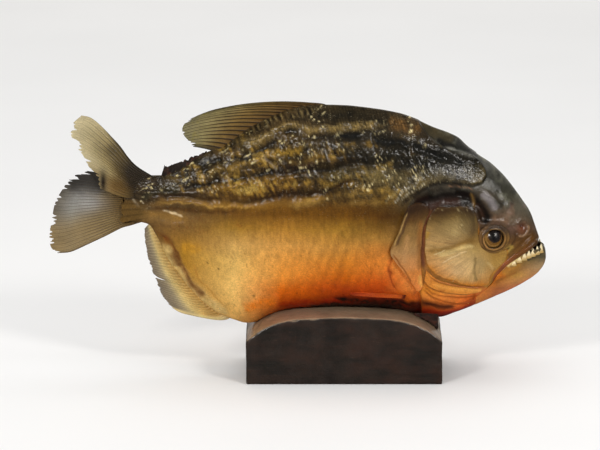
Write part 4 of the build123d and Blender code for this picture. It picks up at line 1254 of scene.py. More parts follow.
def make_lid(side, name):
    """The fleshy ring round an eye, with painted shade at the top and a painted highlight ring."""
    rings, spokes = 40, 140
    profile = even_path(lid_profile, rings)
    turn = np.linspace(0, FULL_TURN, spokes, endpoint=False)[None, :]
    r = profile[:, :1] * (1 + 0.04 * np.cos(2 * turn + 0.6) + 0.025 * np.sin(3 * turn))
    x, z = EYE[0] + r * np.cos(turn), EYE[1] + r * np.sin(turn)
    height = profile[:, 1:] + 0.2 * fractal(x, z, 2, 3) * smooth(5.0, 5.6, r)
    height = height + 0.25 * np.maximum(np.sin(turn), 0) * smooth(7.6, 6, r)
    wr = r + 0.5 * fractal(x, z, 3, 6)
    above, behind = smooth(-0.1, 0.7, np.sin(turn)), smooth(0.1, 0.9, -np.cos(turn))
    painted_highlight_ring, outer_ring = np.exp(-(((wr - 5.5) / 0.45) ** 2)), np.exp(-(((wr - 6.4) / 0.3) ** 2))
    # painted shade darkens the top under the brow, and a painted highlight ring lies round the lower and rear
    # part
    colour = lay(
        even_colour((124, 94, 50), x),
        ((74, 60, 50), above * smooth(5, 5.8, wr) * 0.95),
        ((116, 86, 50), behind * smooth(6.2, 7.0, wr) * 0.7),
        ((178, 136, 84), painted_highlight_ring * (1 - above) * (0.35 + 0.6 * behind)),
        ((62, 40, 18), outer_ring * 0.65 * (1 - 0.6 * above)),
        ((34, 20, 8), smooth(5.2, 4.95, r) * 0.8),
    )
    faces = grid_faces(rings, spokes, wrap=True, flip=side == LEFT)
    return make_object(name, surface(x, z, side, height), faces, shade(colour, 0.3 * fractal(x, z, 2, 4)))


# ------------------------------------------------------------------------ fins
def patch_grid(base, tip, first, last, s, t):
    """Coons patch between four edge lines; s runs along the base, t along the rays."""
    count = 400
    base, tip, first, last = (even_path(edge, count) for edge in (base, tip, first, last))
    tip[0], tip[-1] = first[-1], last[-1]

    def at(path, share):
        """Places along an edge line."""
        share = np.clip(share, 0, 1) * (count - 1)
        return np.stack([np.interp(share, np.arange(count), path[:, k]) for k in (0, 1)], -1)

    s, t = np.broadcast_arrays(s, t)
    along, across = s[..., None], t[..., None]
    straight = at(base, s) * (1 - across) + at(tip, s) * across
    sides = at(first, t) * (1 - along) + at(last, t) * along
    corners = (first[0] * (1 - along) * (1 - across) + first[-1] * (1 - along) * across
               + last[0] * along * (1 - across) + last[-1] * along * across)
    return straight + sides - corners


def ray_fin(name, edges, rays, tint, thick=0.5, ragged=0.03, splits=(), y_at=0.0, bow=0.0, place=None,
            rows=90, columns=340, seed=1):
    """A fin of raised rays in a thin skin: two faces, closed along a torn edge."""
    branch = 0.45
    s, t = np.linspace(0, 1, columns)[:, None], np.linspace(0, 1, rows)[None, :]
    ray = s * rays
    # each ray ends at its own length, and the skin between two rays is torn back further
    ends = 1 + ragged * noise(ray, 0 * ray, 1.0, seed) + 0.5 * ragged * noise(ray, 0 * ray, 0.23, seed + 1)
    ends = ends - 0.6 * ragged * (1 - np.abs(np.cos(ray * HALF_TURN)))
    for centre, width, depth in splits:
        ends = ends - depth * np.exp(-(np.abs((s - centre) / width) ** 1.5))
    reach = t * np.minimum(ends, 1.0)
    x, z = np.moveaxis(patch_grid(*edges, s, reach), -1, 0)
    # each ray branches into two finer ones
    lines = np.abs(np.cos(ray * HALF_TURN)) ** 5
    fine = np.abs(np.cos(2 * ray * HALF_TURN + 0.3)) ** 5
    spread = smooth(branch, branch + 0.3, reach)
    lines = lines * (1 - 0.6 * spread) + fine * 0.5 * spread
    joints = 0.85 + 0.15 * np.cos(reach * 150 + 2 * np.sin(ray))
    body = thick / 2 * (0.25 + 0.75 * lines * joints) * (1.15 - 0.65 * reach)
    rim = smooth(0, 0.02, s) * smooth(0, 0.02, 1 - s) * smooth(0, 0.015, 1 - t)
    body = 0.06 + body * (0.25 + 0.75 * rim)
    if place is None:
        wave = bow * np.sin(reach * HALF_TURN * 0.9) + 0.5 * noise(s * 9, reach * 3, 1, seed + 2) * reach
        front = np.stack([x, y_at + wave - body, z], -1)
        back = np.stack([x, y_at + wave + body, z], -1)
    else:
        front, back = place(x, z, body + 0.15 * reach), place(x, z, -body - 0.6)
    shift = rows * columns
    faces = grid_faces(columns, rows, flip=True) + grid_faces(columns, rows, offset=shift)
    loop = ([(i, 0) for i in range(columns)] + [(columns - 1, j) for j in range(1, rows)]
            + [(i, rows - 1) for i in range(columns - 2, -1, -1)] + [(0, j) for j in range(rows - 2, 0, -1)])
    ring = [i * rows + j for i, j in loop]
    faces += [[a, b, b + shift, a + shift] for a, b in zip(ring, ring[1:] + ring[:1])]
    colour = tint(s + 0 * t, reach, lines, x, z)
    return make_object(name, np.stack([front, back]), faces, np.stack([colour, colour]))


def dorsal_tint(s, t, lines, x, z):
    """Grey-gold skin between dark rays."""
    colour = lay(
        mix_along(t, (0, (116, 84, 36)), (0.35, (142, 116, 60)), (0.7, (162, 150, 104)),
                  (1, (148, 142, 108))),
        ((58, 46, 28), 0.9 * smooth(0.25, 0.75, lines)),
        ((50, 46, 38), 0.8 * smooth(0.9, 1, s) + 0.6 * smooth(0.08, 0.0, s)),
        ((150, 138, 62), 0.6 * smooth(0.1, 0.5, fractal(x, z, 3, 2)) * smooth(0.7, 0.95, t)),
    )
    return shade(colour, 0.2 * fractal(x, z, 4, 3))


def adipose_tint(s, t, lines, x, z):
    """Dark, blotchy skin."""
    blotches = 0.6 * smooth(0.0, 0.5, fractal(x, z, 2.5, 4))
    colour = lay(even_colour((58, 46, 38), x), ((120, 70, 52), blotches))
    return shade(colour, 0.25 * fractal(x, z, 2, 3))


def anal_tint(s, t, lines, x, z):
    """Cream rays, darker between them towards the torn edge."""
    between = 1 - smooth(0.1, 0.6, lines)
    colour = lay(
        mix_along(t, (0, (196, 150, 62)), (0.25, (224, 198, 130)), (0.5, (226, 208, 150)),
                  (0.68, (190, 176, 146)), (1, (158, 146, 130))),
        ((104, 88, 68), 0.6 * between * smooth(0.4, 0.85, t)),
        ((172, 130, 58), 0.5 * between * smooth(0.6, 0.2, t)),
        ((238, 222, 172), 0.9 * smooth(0.1, 0.03, s)),
        ((120, 96, 72), 0.4 * smooth(0.03, 0.0, s)),
    )
    return shade(colour, 0.16 * fractal(x, z, 4, 3))


def upper_tail_tint(s, t, lines, x, z):
    """Dark at the root and pale at the tip."""
    colour = lay(
        mix_along(t, (0, (54, 44, 34)), (0.28, (62, 50, 34)), (0.45, (124, 106, 64)),
                  (0.6, (172, 156, 112)), (1, (206, 196, 164))),
        ((132, 104, 46), 0.6 * smooth(0.55, 0.85, s) * smooth(0.1, 0.4, t)),
        ((92, 78, 46), 0.7 * spot(x, z, (-118, 117), (5, 4))),
        ((84, 72, 50), 0.55 * smooth(0.3, 0.8, lines) * smooth(1.05, 0.6, t)),
        ((48, 40, 30), 0.8 * smooth(0.05, 0.0, s) * smooth(0.8, 0.5, t)),
        ((24, 18, 10), spot(x, z, (-122.6, 100), (1.6, 6))),
        ((126, 92, 28), 0.7 * spot(x, z, (-116, 98), (5, 5))),
    )
    return shade(colour, 0.14 * fractal(x, z, 5, 3))


def lower_tail_tint(s, t, lines, x, z):
    """Gold at the root, with a dark grey patch of painted shade where it lies behind the upper lobe, and a
    grey patch before the tip.
    """
    painted_shade_patch = smooth(0.5, 0.2, s + 0.1 * fractal(x, z, 5, 2)) * smooth(0.35, 0.58, t)
    colour = lay(
        mix_along(t, (0, (104, 80, 38)), (0.22, (122, 94, 38)), (0.48, (136, 114, 62)),
                  (0.8, (158, 156, 148)), (1, (126, 118, 104))),
        ((164, 142, 98), 0.85 * smooth(0.5, 0.8, s) * smooth(0.12, 0.5, t)),
        ((66, 62, 58), 0.95 * painted_shade_patch),
        ((178, 178, 180), 0.7 * spot(x, z, (-130, 89), (9, 5.6))),
        ((78, 66, 50), 0.6 * smooth(0.3, 0.8, lines) * (0.5 + 0.5 * smooth(1, 0.6, t))),
        ((84, 70, 50), 0.7 * smooth(0.97, 1.0, s)),
    )
    return shade(colour, 0.14 * fractal(x, z, 5, 3))


def pectoral_tint(s, t, lines, x, z):
    """Bright orange, darker between the rays and at the root."""
    colour = lay(
        mix_along(t, (0, (248, 136, 52)), (0.5, (242, 118, 34)), (1, (214, 88, 18))),
        ((160, 58, 12), 0.5 * (1 - smooth(0.1, 0.6, lines))),
        ((120, 30, 6), smooth(0.8, 1.0, s) * 0.6),
        ((104, 22, 4), smooth(0.1, 0.02, t) * 0.9),
    )
    return shade(colour, 0.16 * fractal(x, z, 3, 3))


# each fin's edges: along its base, along its tips, its first ray, its last ray
dorsal_edges = (
    ((-8, 137), (-20, 137.0), (-33, 133.4), (-45, 127.4), (-55, 120.6), (-64, 115.0)),
    ((-74.3, 134.8), (-79.6, 132.0), (-82.0, 128.6), (-82.0, 125.4), (-79.6, 122.2), (-76.8, 118.4)),
    ((-8, 137), (-9.6, 140.4), (-17.7, 141.4), (-29.8, 141.9), (-42, 141.5), (-54, 140.2), (-66.2, 137.7),
     (-74.3, 134.8)),
    ((-64, 115.0), (-69, 116.8), (-76.8, 118.4)),
)
adipose_edges = (
    ((-93.4, 101.6), (-86, 104.2), (-78, 108.2), (-69, 113.2)),
    ((-91.4, 110.0), (-88, 109.2), (-82.5, 111.0), (-77, 114.0), (-70, 116.4)),
    ((-93.4, 101.6), (-92.8, 104.4), (-91.8, 107.6), (-91.4, 110.0)),
    ((-69, 113.2), (-69.6, 114.8), (-70, 116.4)),
)
anal_edges = (
    ((-55.4, 31.0), (-64, 34.6), (-72, 41.6), (-80, 50), (-87, 60), (-91.8, 69), (-96.4, 79.4)),
    ((-88.2, 33.6), (-91.6, 37.4), (-94.4, 43), (-97.4, 51), (-99.6, 57), (-101, 64), (-101.9, 70),
     (-102, 75.4)),
    ((-55.4, 31.0), (-59.6, 27.6), (-64.4, 27.0), (-70.6, 27.8), (-77.1, 29.2), (-83.7, 31.0),
     (-88.2, 33.6)),
    ((-96.4, 79.4), (-99.4, 78.2), (-102, 75.4)),
)
tail_upper_edges = (
    ((-95.6, 102.2), (-98, 98.6), (-101, 94.6), (-102.6, 91.6)),
    ((-133.2, 135.0), (-138.4, 129.2), (-137.6, 121.4), (-132.8, 114.4), (-130.0, 108.6), (-126.4, 103.4),
     (-124.6, 97.0)),
    ((-95.6, 102.2), (-104.9, 108.3), (-109.5, 113.1), (-113.6, 119.0), (-118.2, 124.2), (-123.3, 129.6),
     (-128.4, 133.8), (-133.2, 135.0)),
    ((-102.6, 91.6), (-112, 92.4), (-124.6, 97.0)),
)
tail_lower_edges = (
    ((-101.0, 97.6), (-102.4, 92), (-102, 86), (-98.4, 80.6)),
    ((-130.6, 105.6), (-138.6, 102.6), (-143.6, 96.0), (-147.4, 89), (-149.2, 80.6), (-150.6, 71.9),
     (-150, 65.6), (-146.6, 62.4)),
    ((-101.0, 97.6), (-112, 100.8), (-122, 104.0), (-130.6, 105.6)),
    ((-98.4, 80.6), (-108.4, 77.2), (-113.7, 75.6), (-122.0, 71.3), (-132.0, 66.5), (-139.9, 63.0),
     (-146.6, 62.4)),
)
pectoral_edges = (
    ((31.4, 44.0), (31.2, 43.2), (31.0, 42.4)),
    ((3.6, 44.9), (3.2, 44.4), (3.8, 43.9)),
    ((31.4, 44.0), (24, 44.5), (14, 45.0), (8, 45.2), (3.6, 44.9)),
    ((31.0, 42.4), (24, 42.6), (14, 43.0), (3.8, 43.9)),
)


# ------------------------------------------------------------------- materials
def connect(tree, node, inputs):
    """Links sockets to a node's inputs, or sets the inputs' values."""
    for key, value in inputs.items():
        if isinstance(value, bpy.types.NodeSocket):
            tree.links.new(value, node.inputs[key])
        else:
            node.inputs[key].default_value = value


def add_node(tree, kind, inputs=None, **settings):
    """A shader node with its settings, constant inputs and links."""
    new = tree.nodes.new("ShaderNode" + kind)
    for key, value in settings.items():
        setattr(new, key, value)
    connect(tree, new, inputs or {})
    return new


def start_material(name):
    """A material with one shader: the material, its tree and the shader."""
    material = bpy.data.materials.new(name)
    material.use_nodes = True
    tree = material.node_tree
    tree.nodes.clear()
    shader = add_node(tree, "BsdfPrincipled")
    add_node(tree, "OutputMaterial", {"Surface": shader.outputs["BSDF"]})
    return material, tree, shader


def place_of(tree, stretch=(1, 1, 1)):
    """Object position in millimetres, stretched."""
    where = add_node(tree, "TexCoord").outputs["Object"]
    settings = {"Vector": where, "Scale": tuple(k / MM for k in stretch)}
    return add_node(tree, "Mapping", settings).outputs["Vector"]


def noise_of(tree, where, per_mm, detail=4.0, roughness=0.55):
    """Noise with so many features a millimetre."""
    settings = {"Vector": where, "Scale": per_mm, "Detail": detail, "Roughness": roughness}
    return add_node(tree, "TexNoise", settings).outputs["Fac"]


def remap(tree, value, low, high, to_low, to_high):
    """A value moved from one range to another, and held there."""
    span = {"Value": value, "From Min": low, "From Max": high, "To Min": to_low, "To Max": to_high}
    return add_node(tree, "MapRange", span).outputs["Result"]


def times(tree, a, b):
    """Product of two values."""
    return add_node(tree, "Math", {0: a, 1: b}, operation="MULTIPLY").outputs[0]


def grey(tree, value):
    """A grey as bright as value."""
    return add_node(tree, "CombineColor", {0: value, 1: value, 2: value}).outputs[0]


def blend_colour(tree, factor, a, b, kind="MIX"):
    """Two colours blended by factor."""
    return add_node(tree, "Mix", {0: factor, 6: a, 7: b}, data_type="RGBA", blend_type=kind).outputs[2]


def bump_of(tree, height, distance_mm, below=None, strength=1.0, invert=False):
    """A bumpy normal, on top of the one below."""
    inputs = {"Height": height, "Strength": strength, "Distance": distance_mm * MM}
    if below is not None:
        inputs["Normal"] = below
    return add_node(tree, "Bump", inputs, invert=invert).outputs[0]


def rgba(rgb):
    """Display colour, 0 to 255, as a shader colour."""
    return tuple(linear(rgb)) + (1.0,)


def add_scales(tree, where, colour, bump, varnish):
    """Scales in the skin and, flatter, in its varnish: dark between them, with painted pale glints on some.
    """
    strength = add_node(tree, "Attribute", attribute_name="scale").outputs["Fac"]
    glints = add_node(tree, "Attribute", attribute_name="fleck").outputs["Fac"]
    slanted = place_of(tree, (0.9, 0.9, 1.15))
    warp = add_node(tree, "TexNoise", {"Vector": slanted, "Scale": 0.35, "Detail": 2.0}).outputs["Color"]
    slanted = add_node(tree, "VectorMath", {0: slanted, 1: warp}, operation="ADD").outputs[0]
    large = add_node(tree, "TexVoronoi", {"Vector": slanted, "Scale": 0.95, "Randomness": 0.75})
    cells = large.outputs["Distance"]
    scales = times(tree, cells, strength)
    ridges = times(tree, noise_of(tree, place_of(tree, (1.0, 1.0, 0.32)), 1.1, 4), strength)
    bump = bump_of(tree, ridges, 0.25, bump_of(tree, scales, 0.16, bump, invert=True))
    varnish = bump_of(tree, scales, 0.1, bump_of(tree, ridges, 0.16, varnish), invert=True)
    gaps = grey(tree, remap(tree, cells, 0.35, 0.75, 1.08, 0.72))
    colour = blend_colour(tree, strength, colour, blend_colour(tree, 1.0, colour, gaps, "MULTIPLY"))
    small = add_node(tree, "TexVoronoi", {"Vector": slanted, "Scale": 1.7, "Randomness": 1.0})
    chance = add_node(tree, "SeparateColor", {0: small.outputs["Color"]}).outputs[0]
    glints = times(tree, glints, remap(tree, chance, 0.8, 0.86, 0, 1))
    glints = times(tree, glints, remap(tree, small.outputs["Distance"], 0.2, 0.42, 1, 0))
    glints = times(tree, glints, remap(tree, noise_of(tree, where, 0.22, 3), 0.44, 0.58, 0, 0.34))
    return blend_colour(tree, glints, colour, rgba((200, 190, 160))), bump, varnish, strength


def painted(name, roughness, coat, coat_roughness=0.08, grain=0.05, scales=False, specular=0.5, mottle=0.18,
            lumps=0.12):
    """A varnished surface in the painted colours, with fine mottling, a grain and, on skin, scales."""
    material, tree, shader = start_material(name)
    where = place_of(tree)
    tint = add_node(tree, "Attribute", attribute_name="tint").outputs["Color"]
    fine = grey(tree, remap(tree, noise_of(tree, where, 1.6, 6), 0.3, 0.7, 1 - mottle, 1 + mottle))
    colour = blend_colour(tree, 1.0, tint, fine, "MULTIPLY")
    bump = bump_of(tree, noise_of(tree, where, 2.0, 5), grain)
    varnish = bump_of(tree, noise_of(tree, where, 0.9, 4), lumps)
    coat_weight = coat
    if scales:
        colour, bump, varnish, strength = add_scales(tree, where, colour, bump, varnish)
        coat_weight = remap(tree, strength, 0.3, 1.0, 0.28 * coat, coat)
    connect(tree, shader, {
        "Base Color": colour,
        "Roughness": remap(tree, noise_of(tree, where, 0.5, 3), 0.3, 0.7, *roughness),
        "Normal": bump,
        "Specular IOR Level": specular,
        "Coat Weight": coat_weight,
        "Coat Roughness": coat_roughness,
        "Coat Tint": (1.0, 0.965, 0.86, 1.0),
        "Coat Normal": varnish,
    })
    return material


def fin_material(name):
    """Dried fin: painted rays, dull varnish, some light through it."""
    material = painted(name, (0.4, 0.65), coat=0.2, coat_roughness=0.2, grain=0.04, mottle=0.14)
    tree = material.node_tree
    shader = next(n for n in tree.nodes if n.type == "BSDF_PRINCIPLED")
    output = next(n for n in tree.nodes if n.type == "OUTPUT_MATERIAL")
    colour = shader.inputs["Base Color"].links[0].from_socket
    through = add_node(tree, "BsdfTranslucent", {"Color": colour})
    both = add_node(tree, "MixShader", {0: 0.3, 1: shader.outputs[0], 2: through.outputs[0]})
    connect(tree, output, {"Surface": both.outputs[0]})
    return material


def wood_material(name):
    """Dark stain with a worn, slightly shiny top coat, and paler where it faces up: dust, and painted light
    from above.
    """
    material, tree, shader = start_material(name)
    where = place_of(tree)
    grain = noise_of(tree, place_of(tree, (0.05, 0.7, 0.7)), 1.0, 6, 0.6)
    broad = noise_of(tree, where, 0.09, 4)
    soot = noise_of(tree, place_of(tree, (0.5, 1, 1.6)), 0.08, 5)
    scratches = noise_of(tree, place_of(tree, (0.12, 0.5, 1.4)), 1.3, 3, 0.7)
    form = add_node(tree, "NewGeometry")
    facing = add_node(tree, "SeparateXYZ", {0: form.outputs["Normal"]}).outputs[2]
    dust_and_top_light = times(tree, remap(tree, facing, 0.4, 0.85, 0, 1), remap(tree, broad, 0.3, 0.6, 0.62, 0.92))
    colour = rgba((36, 28, 22))
    for factor, rgb in (
        (remap(tree, broad, 0.35, 0.65, 0, 1), (54, 40, 31)),
        (remap(tree, grain, 0.45, 0.7, 0, 0.45), (58, 36, 26)),
        (remap(tree, noise_of(tree, where, 0.05, 5), 0.5, 0.66, 0, 0.6), (62, 38, 27)),
        (remap(tree, soot, 0.5, 0.68, 0, 0.7), (27, 26, 20)),
        # worn edges
        (remap(tree, form.outputs["Pointiness"], 0.52, 0.62, 0, 0.55), (86, 66, 50)),
        (remap(tree, scratches, 0.66, 0.74, 0, 0.35), (112, 84, 62)),
        # dust, and painted light on the faces that look up
        (dust_and_top_light, (156, 132, 106)),
    ):
        colour = blend_colour(tree, factor, colour, rgba(rgb))
    bump = bump_of(tree, grain, 0.25, strength=0.7)
    connect(tree, shader, {
        "Base Color": colour,
        "Roughness": remap(tree, noise_of(tree, where, 0.3, 5), 0.3, 0.7, 0.34, 0.56),
        "Normal": bump_of(tree, noise_of(tree, where, 0.8, 5), 0.2, bump, strength=0.8),
        "Coat Weight": 0.7,
        "Coat Roughness": 0.22,
    })
    return material


def plain_material(name, dark, light, per_mm, roughness, metallic=0.0, bump_mm=0.1):
    """Two colours mixed by noise; for what stays hidden or small."""
    material, tree, shader = start_material(name)
    where = place_of(tree)
    mix = remap(tree, noise_of(tree, where, per_mm, 5), 0.35, 0.65, 0, 1)
    connect(tree, shader, {
        "Base Color": blend_colour(tree, mix, rgba(dark), rgba(light)),
        "Roughness": remap(tree, mix, 0, 1, *roughness),
        "Normal": bump_of(tree, noise_of(tree, where, per_mm * 2, 4), bump_mm),
        "Metallic": metallic,
    })
    return material


skin = painted("varnished_skin", (0.4, 0.6), coat=0.85, coat_roughness=0.07, grain=0.06, scales=True,
               specular=0.15)
head_skin = painted("varnished_head_skin", (0.36, 0.55), coat=0.8, coat_roughness=0.12, grain=0.12,
                    specular=0.2, lumps=0.3)
bone = painted("varnished_bone", (0.4, 0.55), coat=0.6, coat_roughness=0.16, specular=0.25)
fin = fin_material("fin_membrane")
enamel = painted("tooth", (0.3, 0.4), coat=0.4, grain=0.02, mottle=0.08)
glass = painted("eye_glass", (0.2, 0.3), coat=1.0, coat_roughness=0.015, grain=0.0, mottle=0.06)
wood = wood_material("painted_wood")
filler = plain_material("filler", dark=(26, 14, 9), light=(74, 34, 18), per_mm=0.4, roughness=(0.45, 0.8),
                        bump_mm=0.6)
steel = plain_material("screw_steel", dark=(120, 112, 96), light=(168, 160, 142), per_mm=0.8,
                       roughness=(0.3, 0.5), metallic=1.0, bump_mm=0.05)
raw_wood = plain_material("raw_wood", dark=(150, 112, 70), light=(190, 152, 104), per_mm=0.3,
                          roughness=(0.6, 0.8))
stuffing = plain_material("stuffing", dark=(150, 130, 98), light=(196, 176, 140), per_mm=0.5,
                          roughness=(0.8, 0.95), bump_mm=0.5)


# -------------------------------------------------------------------- assembly
def dress(piece, material, slot_name, *nodes):
    """Gives a piece its material, parents it to the root and hides the CAD nodes it stands for. Its slot name
    is not used.
    """
    piece.data.materials.clear()
    piece.data.materials.append(material)
    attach(piece, "root")
    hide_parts(*nodes)


def worn_copy(node, name, voxel_mm, smoothing, wobble, chip, inset=0.0):
    """A CAD node's shape as an evenly meshed solid with rounded, uneven edges."""
    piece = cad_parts[node].copy()
    piece.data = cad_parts[node].data.copy()
    for key in list(piece.keys()):
        del piece[key]
    piece.name, piece.data.name, piece.parent = name, name, None
    bpy.context.scene.collection.objects.link(piece)
    piece.hide_render = piece.hide_viewport = False
    remesh = piece.modifiers.new("even", "REMESH")
    remesh.mode, remesh.voxel_size = "VOXEL", voxel_mm * MM
    ease = piece.modifiers.new("ease", "SMOOTH")
    ease.factor, ease.iterations = 0.5, smoothing
    shape = bpy.data.meshes.new_from_object(piece.evaluated_get(bpy.context.evaluated_depsgraph_get()))
    piece.modifiers.clear()
    piece.data = shape
    co, normal = np.zeros(len(shape.vertices) * 3), np.zeros(len(shape.vertices) * 3)
    shape.vertices.foreach_get("co", co)
    shape.vertices.foreach_get("normal", normal)
    co, normal = co.reshape(-1, 3) / MM, normal.reshape(-1, 3)
    along, level = co[:, 0] + 0.7 * co[:, 1], co[:, 2] - 0.4 * co[:, 1]
    lift = wobble * fractal(along, level, 17, 2) + 0.3 * wobble * noise(along, level, 4, 3)
    edge = np.clip((1.0 - np.abs(normal).max(1)) * 4, 0, 1)
    lift = lift - chip * edge * smooth(0.0, 0.7, fractal(along, level, 5, 5))
    if node == "base_block":
        # the foot stays flat
        lift = lift * smooth(0.4, 2.5, co[:, 2] - block_low[2])
    co = co + normal * (lift - inset)[:, None]
    shape.vertices.foreach_set("co", (co * MM).ravel())
    shape.polygons.foreach_set("use_smooth", [True] * len(shape.polygons))
    shape.update()
    return piece


body, throat, head = make_body()
dress(body, skin, "varnished_skin", "trunk_skin")
dress(throat, skin, "varnished_skin", "throat_skin")
dress(head, head_skin, "varnished_head_skin", "skull")
for side, word in ((RIGHT, "right"), (LEFT, "left")):
    cheek = plate("cheek_" + word, cheek_outline, side, cheek_relief, cheek_colour, focus=(57.0, 70.5),
                  edge_lift=0.3)
    dress(cheek, bone, "varnished_bone", "cheek_plate_" + word)
    gill = plate("gill_flap_" + word, gill_outline, side, gill_relief, gill_colour, focus=(34.0, 69.0),
                 edge_lift=0.6)
    dress(gill, bone, "varnished_bone", "gill_cover_" + word)
    crescent = band("preopercle_rim_" + word, band_upper, band_lower, side, band_relief, band_colour)
    dress(crescent, bone, "varnished_bone", "preopercle_" + word)
    dress(make_eye(side, "eyeball_" + word), glass, "eye_glass", "eye_" + word)
    dress(make_lid(side, "eyelid_" + word), head_skin, "varnished_head_skin", "eye_ring_" + word)

    def lay_flat(x, z, lift, side=side):
        """Places on a fin that lies against the flank."""
        return surface(x, z, side, lift + 0.6)

    pectoral = ray_fin("pectoral_" + word, pectoral_edges, 9, pectoral_tint, thick=0.7, ragged=0.05,
                       place=lay_flat, rows=160, columns=90, seed=4)
    dress(pectoral, fin, "fin_membrane", "pectoral_fin_" + word)

dress(make_upper_jaw(), head_skin, "varnished_head_skin", "upper_jaw")
dress(make_lower_jaw(), head_skin, "varnished_head_skin", "lower_jaw")
lower_row, upper_row = np.linspace(0.0, 1.0, 7) ** 0.9, np.linspace(-0.9, 1.0, 7)
lower_teeth = teeth("teeth_lower", gum_line, ends=(86.2, 100.4), inset=-0.3, pointing=1, shares=lower_row,
                    width=3.7, height=5.0, rooted=1.8)
dress(lower_teeth, enamel, "tooth", "lower_teeth")
upper_teeth = teeth("teeth_upper", lip_line, ends=(86.0, 95.4), inset=1.3, pointing=-1, shares=upper_row,
                    width=3.2, height=2.5)
dress(upper_teeth, enamel, "tooth", "upper_teeth")

# (piece, CAD node, edges, rays, tint, shape); a split is its place along the base, its width and its depth
fins = (
    ("fin_dorsal", "dorsal_fin", dorsal_edges, 16, dorsal_tint,
     dict(thick=1.2, ragged=0.04, bow=0.6, seed=1, splits=((0.9, 0.02, 0.12), (0.97, 0.015, 0.08)))),
    ("fin_adipose", "adipose_fin", adipose_edges, 8, adipose_tint,
     dict(thick=1.8, ragged=0.2, rows=50, columns=160, seed=2)),
    ("fin_anal", "anal_fin", anal_edges, 34, anal_tint,
     dict(thick=1.3, ragged=0.05, bow=0.4, seed=3,
          splits=((0.44, 0.008, 0.35), (0.62, 0.006, 0.08), (0.3, 0.006, 0.08)))),
    ("fin_tail_upper", "tail_fin_upper", tail_upper_edges, 17, upper_tail_tint,
     dict(thick=1.1, ragged=0.05, y_at=-0.7, bow=-1.0, seed=4,
          splits=((0.35, 0.03, 0.06), (0.62, 0.02, 0.08), (0.8, 0.02, 0.06)))),
    ("fin_tail_lower", "tail_fin_lower", tail_lower_edges, 26, lower_tail_tint,
     dict(thick=1.0, ragged=0.05, y_at=0.6, bow=0.8, seed=5,
          splits=((0.06, 0.02, 0.12), (0.16, 0.02, 0.09), (0.3, 0.012, 0.05)))),
)
for name, node, edges, rays, tint, shape in fins:
    dress(ray_fin(name, edges, rays, tint, **shape), fin, "fin_membrane", node)

block = worn_copy("base_block", "block", voxel_mm=0.7, smoothing=4, wobble=0.35, chip=0.6)
dress(block, wood, "painted_wood", "base_block")
bed = worn_copy("filler_bed", "throat_filler", voxel_mm=0.4, smoothing=2, wobble=0.5, chip=0.2)
dress(bed, filler, "filler", "filler_bed")
core = worn_copy("body_filling", "stuffing_core", voxel_mm=1.5, smoothing=3, wobble=0.3, chip=0.0, inset=2.4)
dress(core, stuffing, "stuffing", "body_filling")
for node, material in (("base_screws", steel), ("mounting_batten", raw_wood)):
    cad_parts[node].data.materials.clear()
    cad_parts[node].data.materials.append(material)


# ------------------------------------------------------- floor, light, camera
def make_floor():
    """A wide pale floor. The varnish doesn't mirror it, as in a room that is dark in front of the table."""
    reach, sides = 3200.0, 96
    glow_start, glow_end, glow = 1120, 1750, 0.47
    turn = np.linspace(0, FULL_TURN, sides, endpoint=False)
    points = np.stack([reach * np.cos(turn), reach * np.sin(turn), 0 * turn], -1)
    floor = make_object("floor", points, [list(range(sides))])
    material, tree, shader = start_material("floor_paper")
    tint = remap(tree, noise_of(tree, place_of(tree), 0.004, 2), 0.3, 0.7, 0.84, 0.87)
    # far out, beyond the lamps, the paper glows as bright as the studio behind it
    away = add_node(tree, "VectorMath", {0: place_of(tree)}, operation="LENGTH").outputs["Value"]
    connect(tree, shader, {
        "Base Color": grey(tree, tint),
        "Roughness": 0.9,
        "Specular IOR Level": 0.1,
        "Emission Color": (0.98, 0.99, 1.0, 1),
        "Emission Strength": remap(tree, away, glow_start, glow_end, 0, glow),
    })
    floor.data.materials.append(material)
    floor.visible_glossy = False


def aim(thing, place, target):
    """Stands a lamp or camera at a place, looking at a target."""
    thing.location = place
    thing.rotation_euler = (Vector(target) - Vector(place)).to_track_quat("-Z", "Y").to_euler()


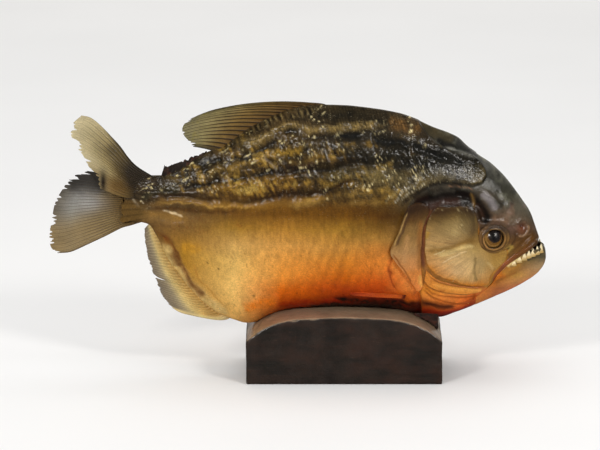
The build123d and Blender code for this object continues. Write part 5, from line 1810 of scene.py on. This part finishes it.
def area_light(name, place, target, size, power, colour=(1, 1, 1), mirrored=True):
    """A rectangular lamp; mirrored says whether it shows in shiny surfaces."""
    data = bpy.data.lights.new(name, "AREA")
    data.shape, data.size, data.size_y, data.energy, data.color = "RECTANGLE", size[0], size[1], power, colour
    lamp = bpy.data.objects.new(name, data)
    bpy.context.scene.collection.objects.link(lamp)
    aim(lamp, place, target)
    lamp.visible_camera, lamp.visible_glossy = False, mirrored


def make_studio():
    """Soft light all round, brighter as a backdrop and darker in reflections."""
    world = bpy.data.worlds.new("studio")
    bpy.context.scene.world = world
    world.use_nodes = True
    tree = world.node_tree
    sky = next(n for n in tree.nodes if n.type == "BACKGROUND")
    ray = add_node(tree, "LightPath")
    seen = remap(tree, ray.outputs["Is Camera Ray"], 0, 1, 0.3, 0.86)
    mirrored = remap(tree, ray.outputs["Is Glossy Ray"], 0, 1, 1.0, 0.2)
    connect(tree, sky, {"Strength": times(tree, seen, mirrored), "Color": (0.98, 0.99, 1.0, 1)})


def make_camera():
    """A long lens, a little above the table."""
    target, distance, elevation = Vector((-0.0225, 0, 0.0775)), 1.745, math.radians(14.1)
    lens = bpy.data.cameras.new("camera")
    lens.sensor_width, lens.lens = 36, 205
    camera = bpy.data.objects.new("camera", lens)
    bpy.context.scene.collection.objects.link(camera)
    aim(camera, target + distance * Vector((0, -math.cos(elevation), math.sin(elevation))), target)
    bpy.context.scene.camera = camera


make_floor()
warm, warmer, fish_middle = (1, 0.97, 0.93), (1, 0.95, 0.87), (0, 0, 0.07)
area_light("overhead", (0.0, 0.1, 1.5), (0, 0.1, 0), size=(1.8, 1.4), power=14.0, mirrored=False)
area_light("front_left", (-0.9, -1.15, 0.95), fish_middle, size=(0.3, 0.3), power=9.0, colour=warm)
area_light("front_right", (0.95, -0.95, 0.95), fish_middle, size=(0.3, 0.3), power=8.0, colour=warm)
area_light("far_floor", (0.0, 1.9, 1.6), (0, 1.3, 0), size=(2.4, 1.2), power=4.0, mirrored=False)
area_light("behind", (0, 1.5, 0.5), (0, 0, 0.1), size=(2.6, 0.9), power=5.0, colour=warmer)
make_studio()
make_camera()
bpy.context.scene.view_settings.view_transform = "Standard"
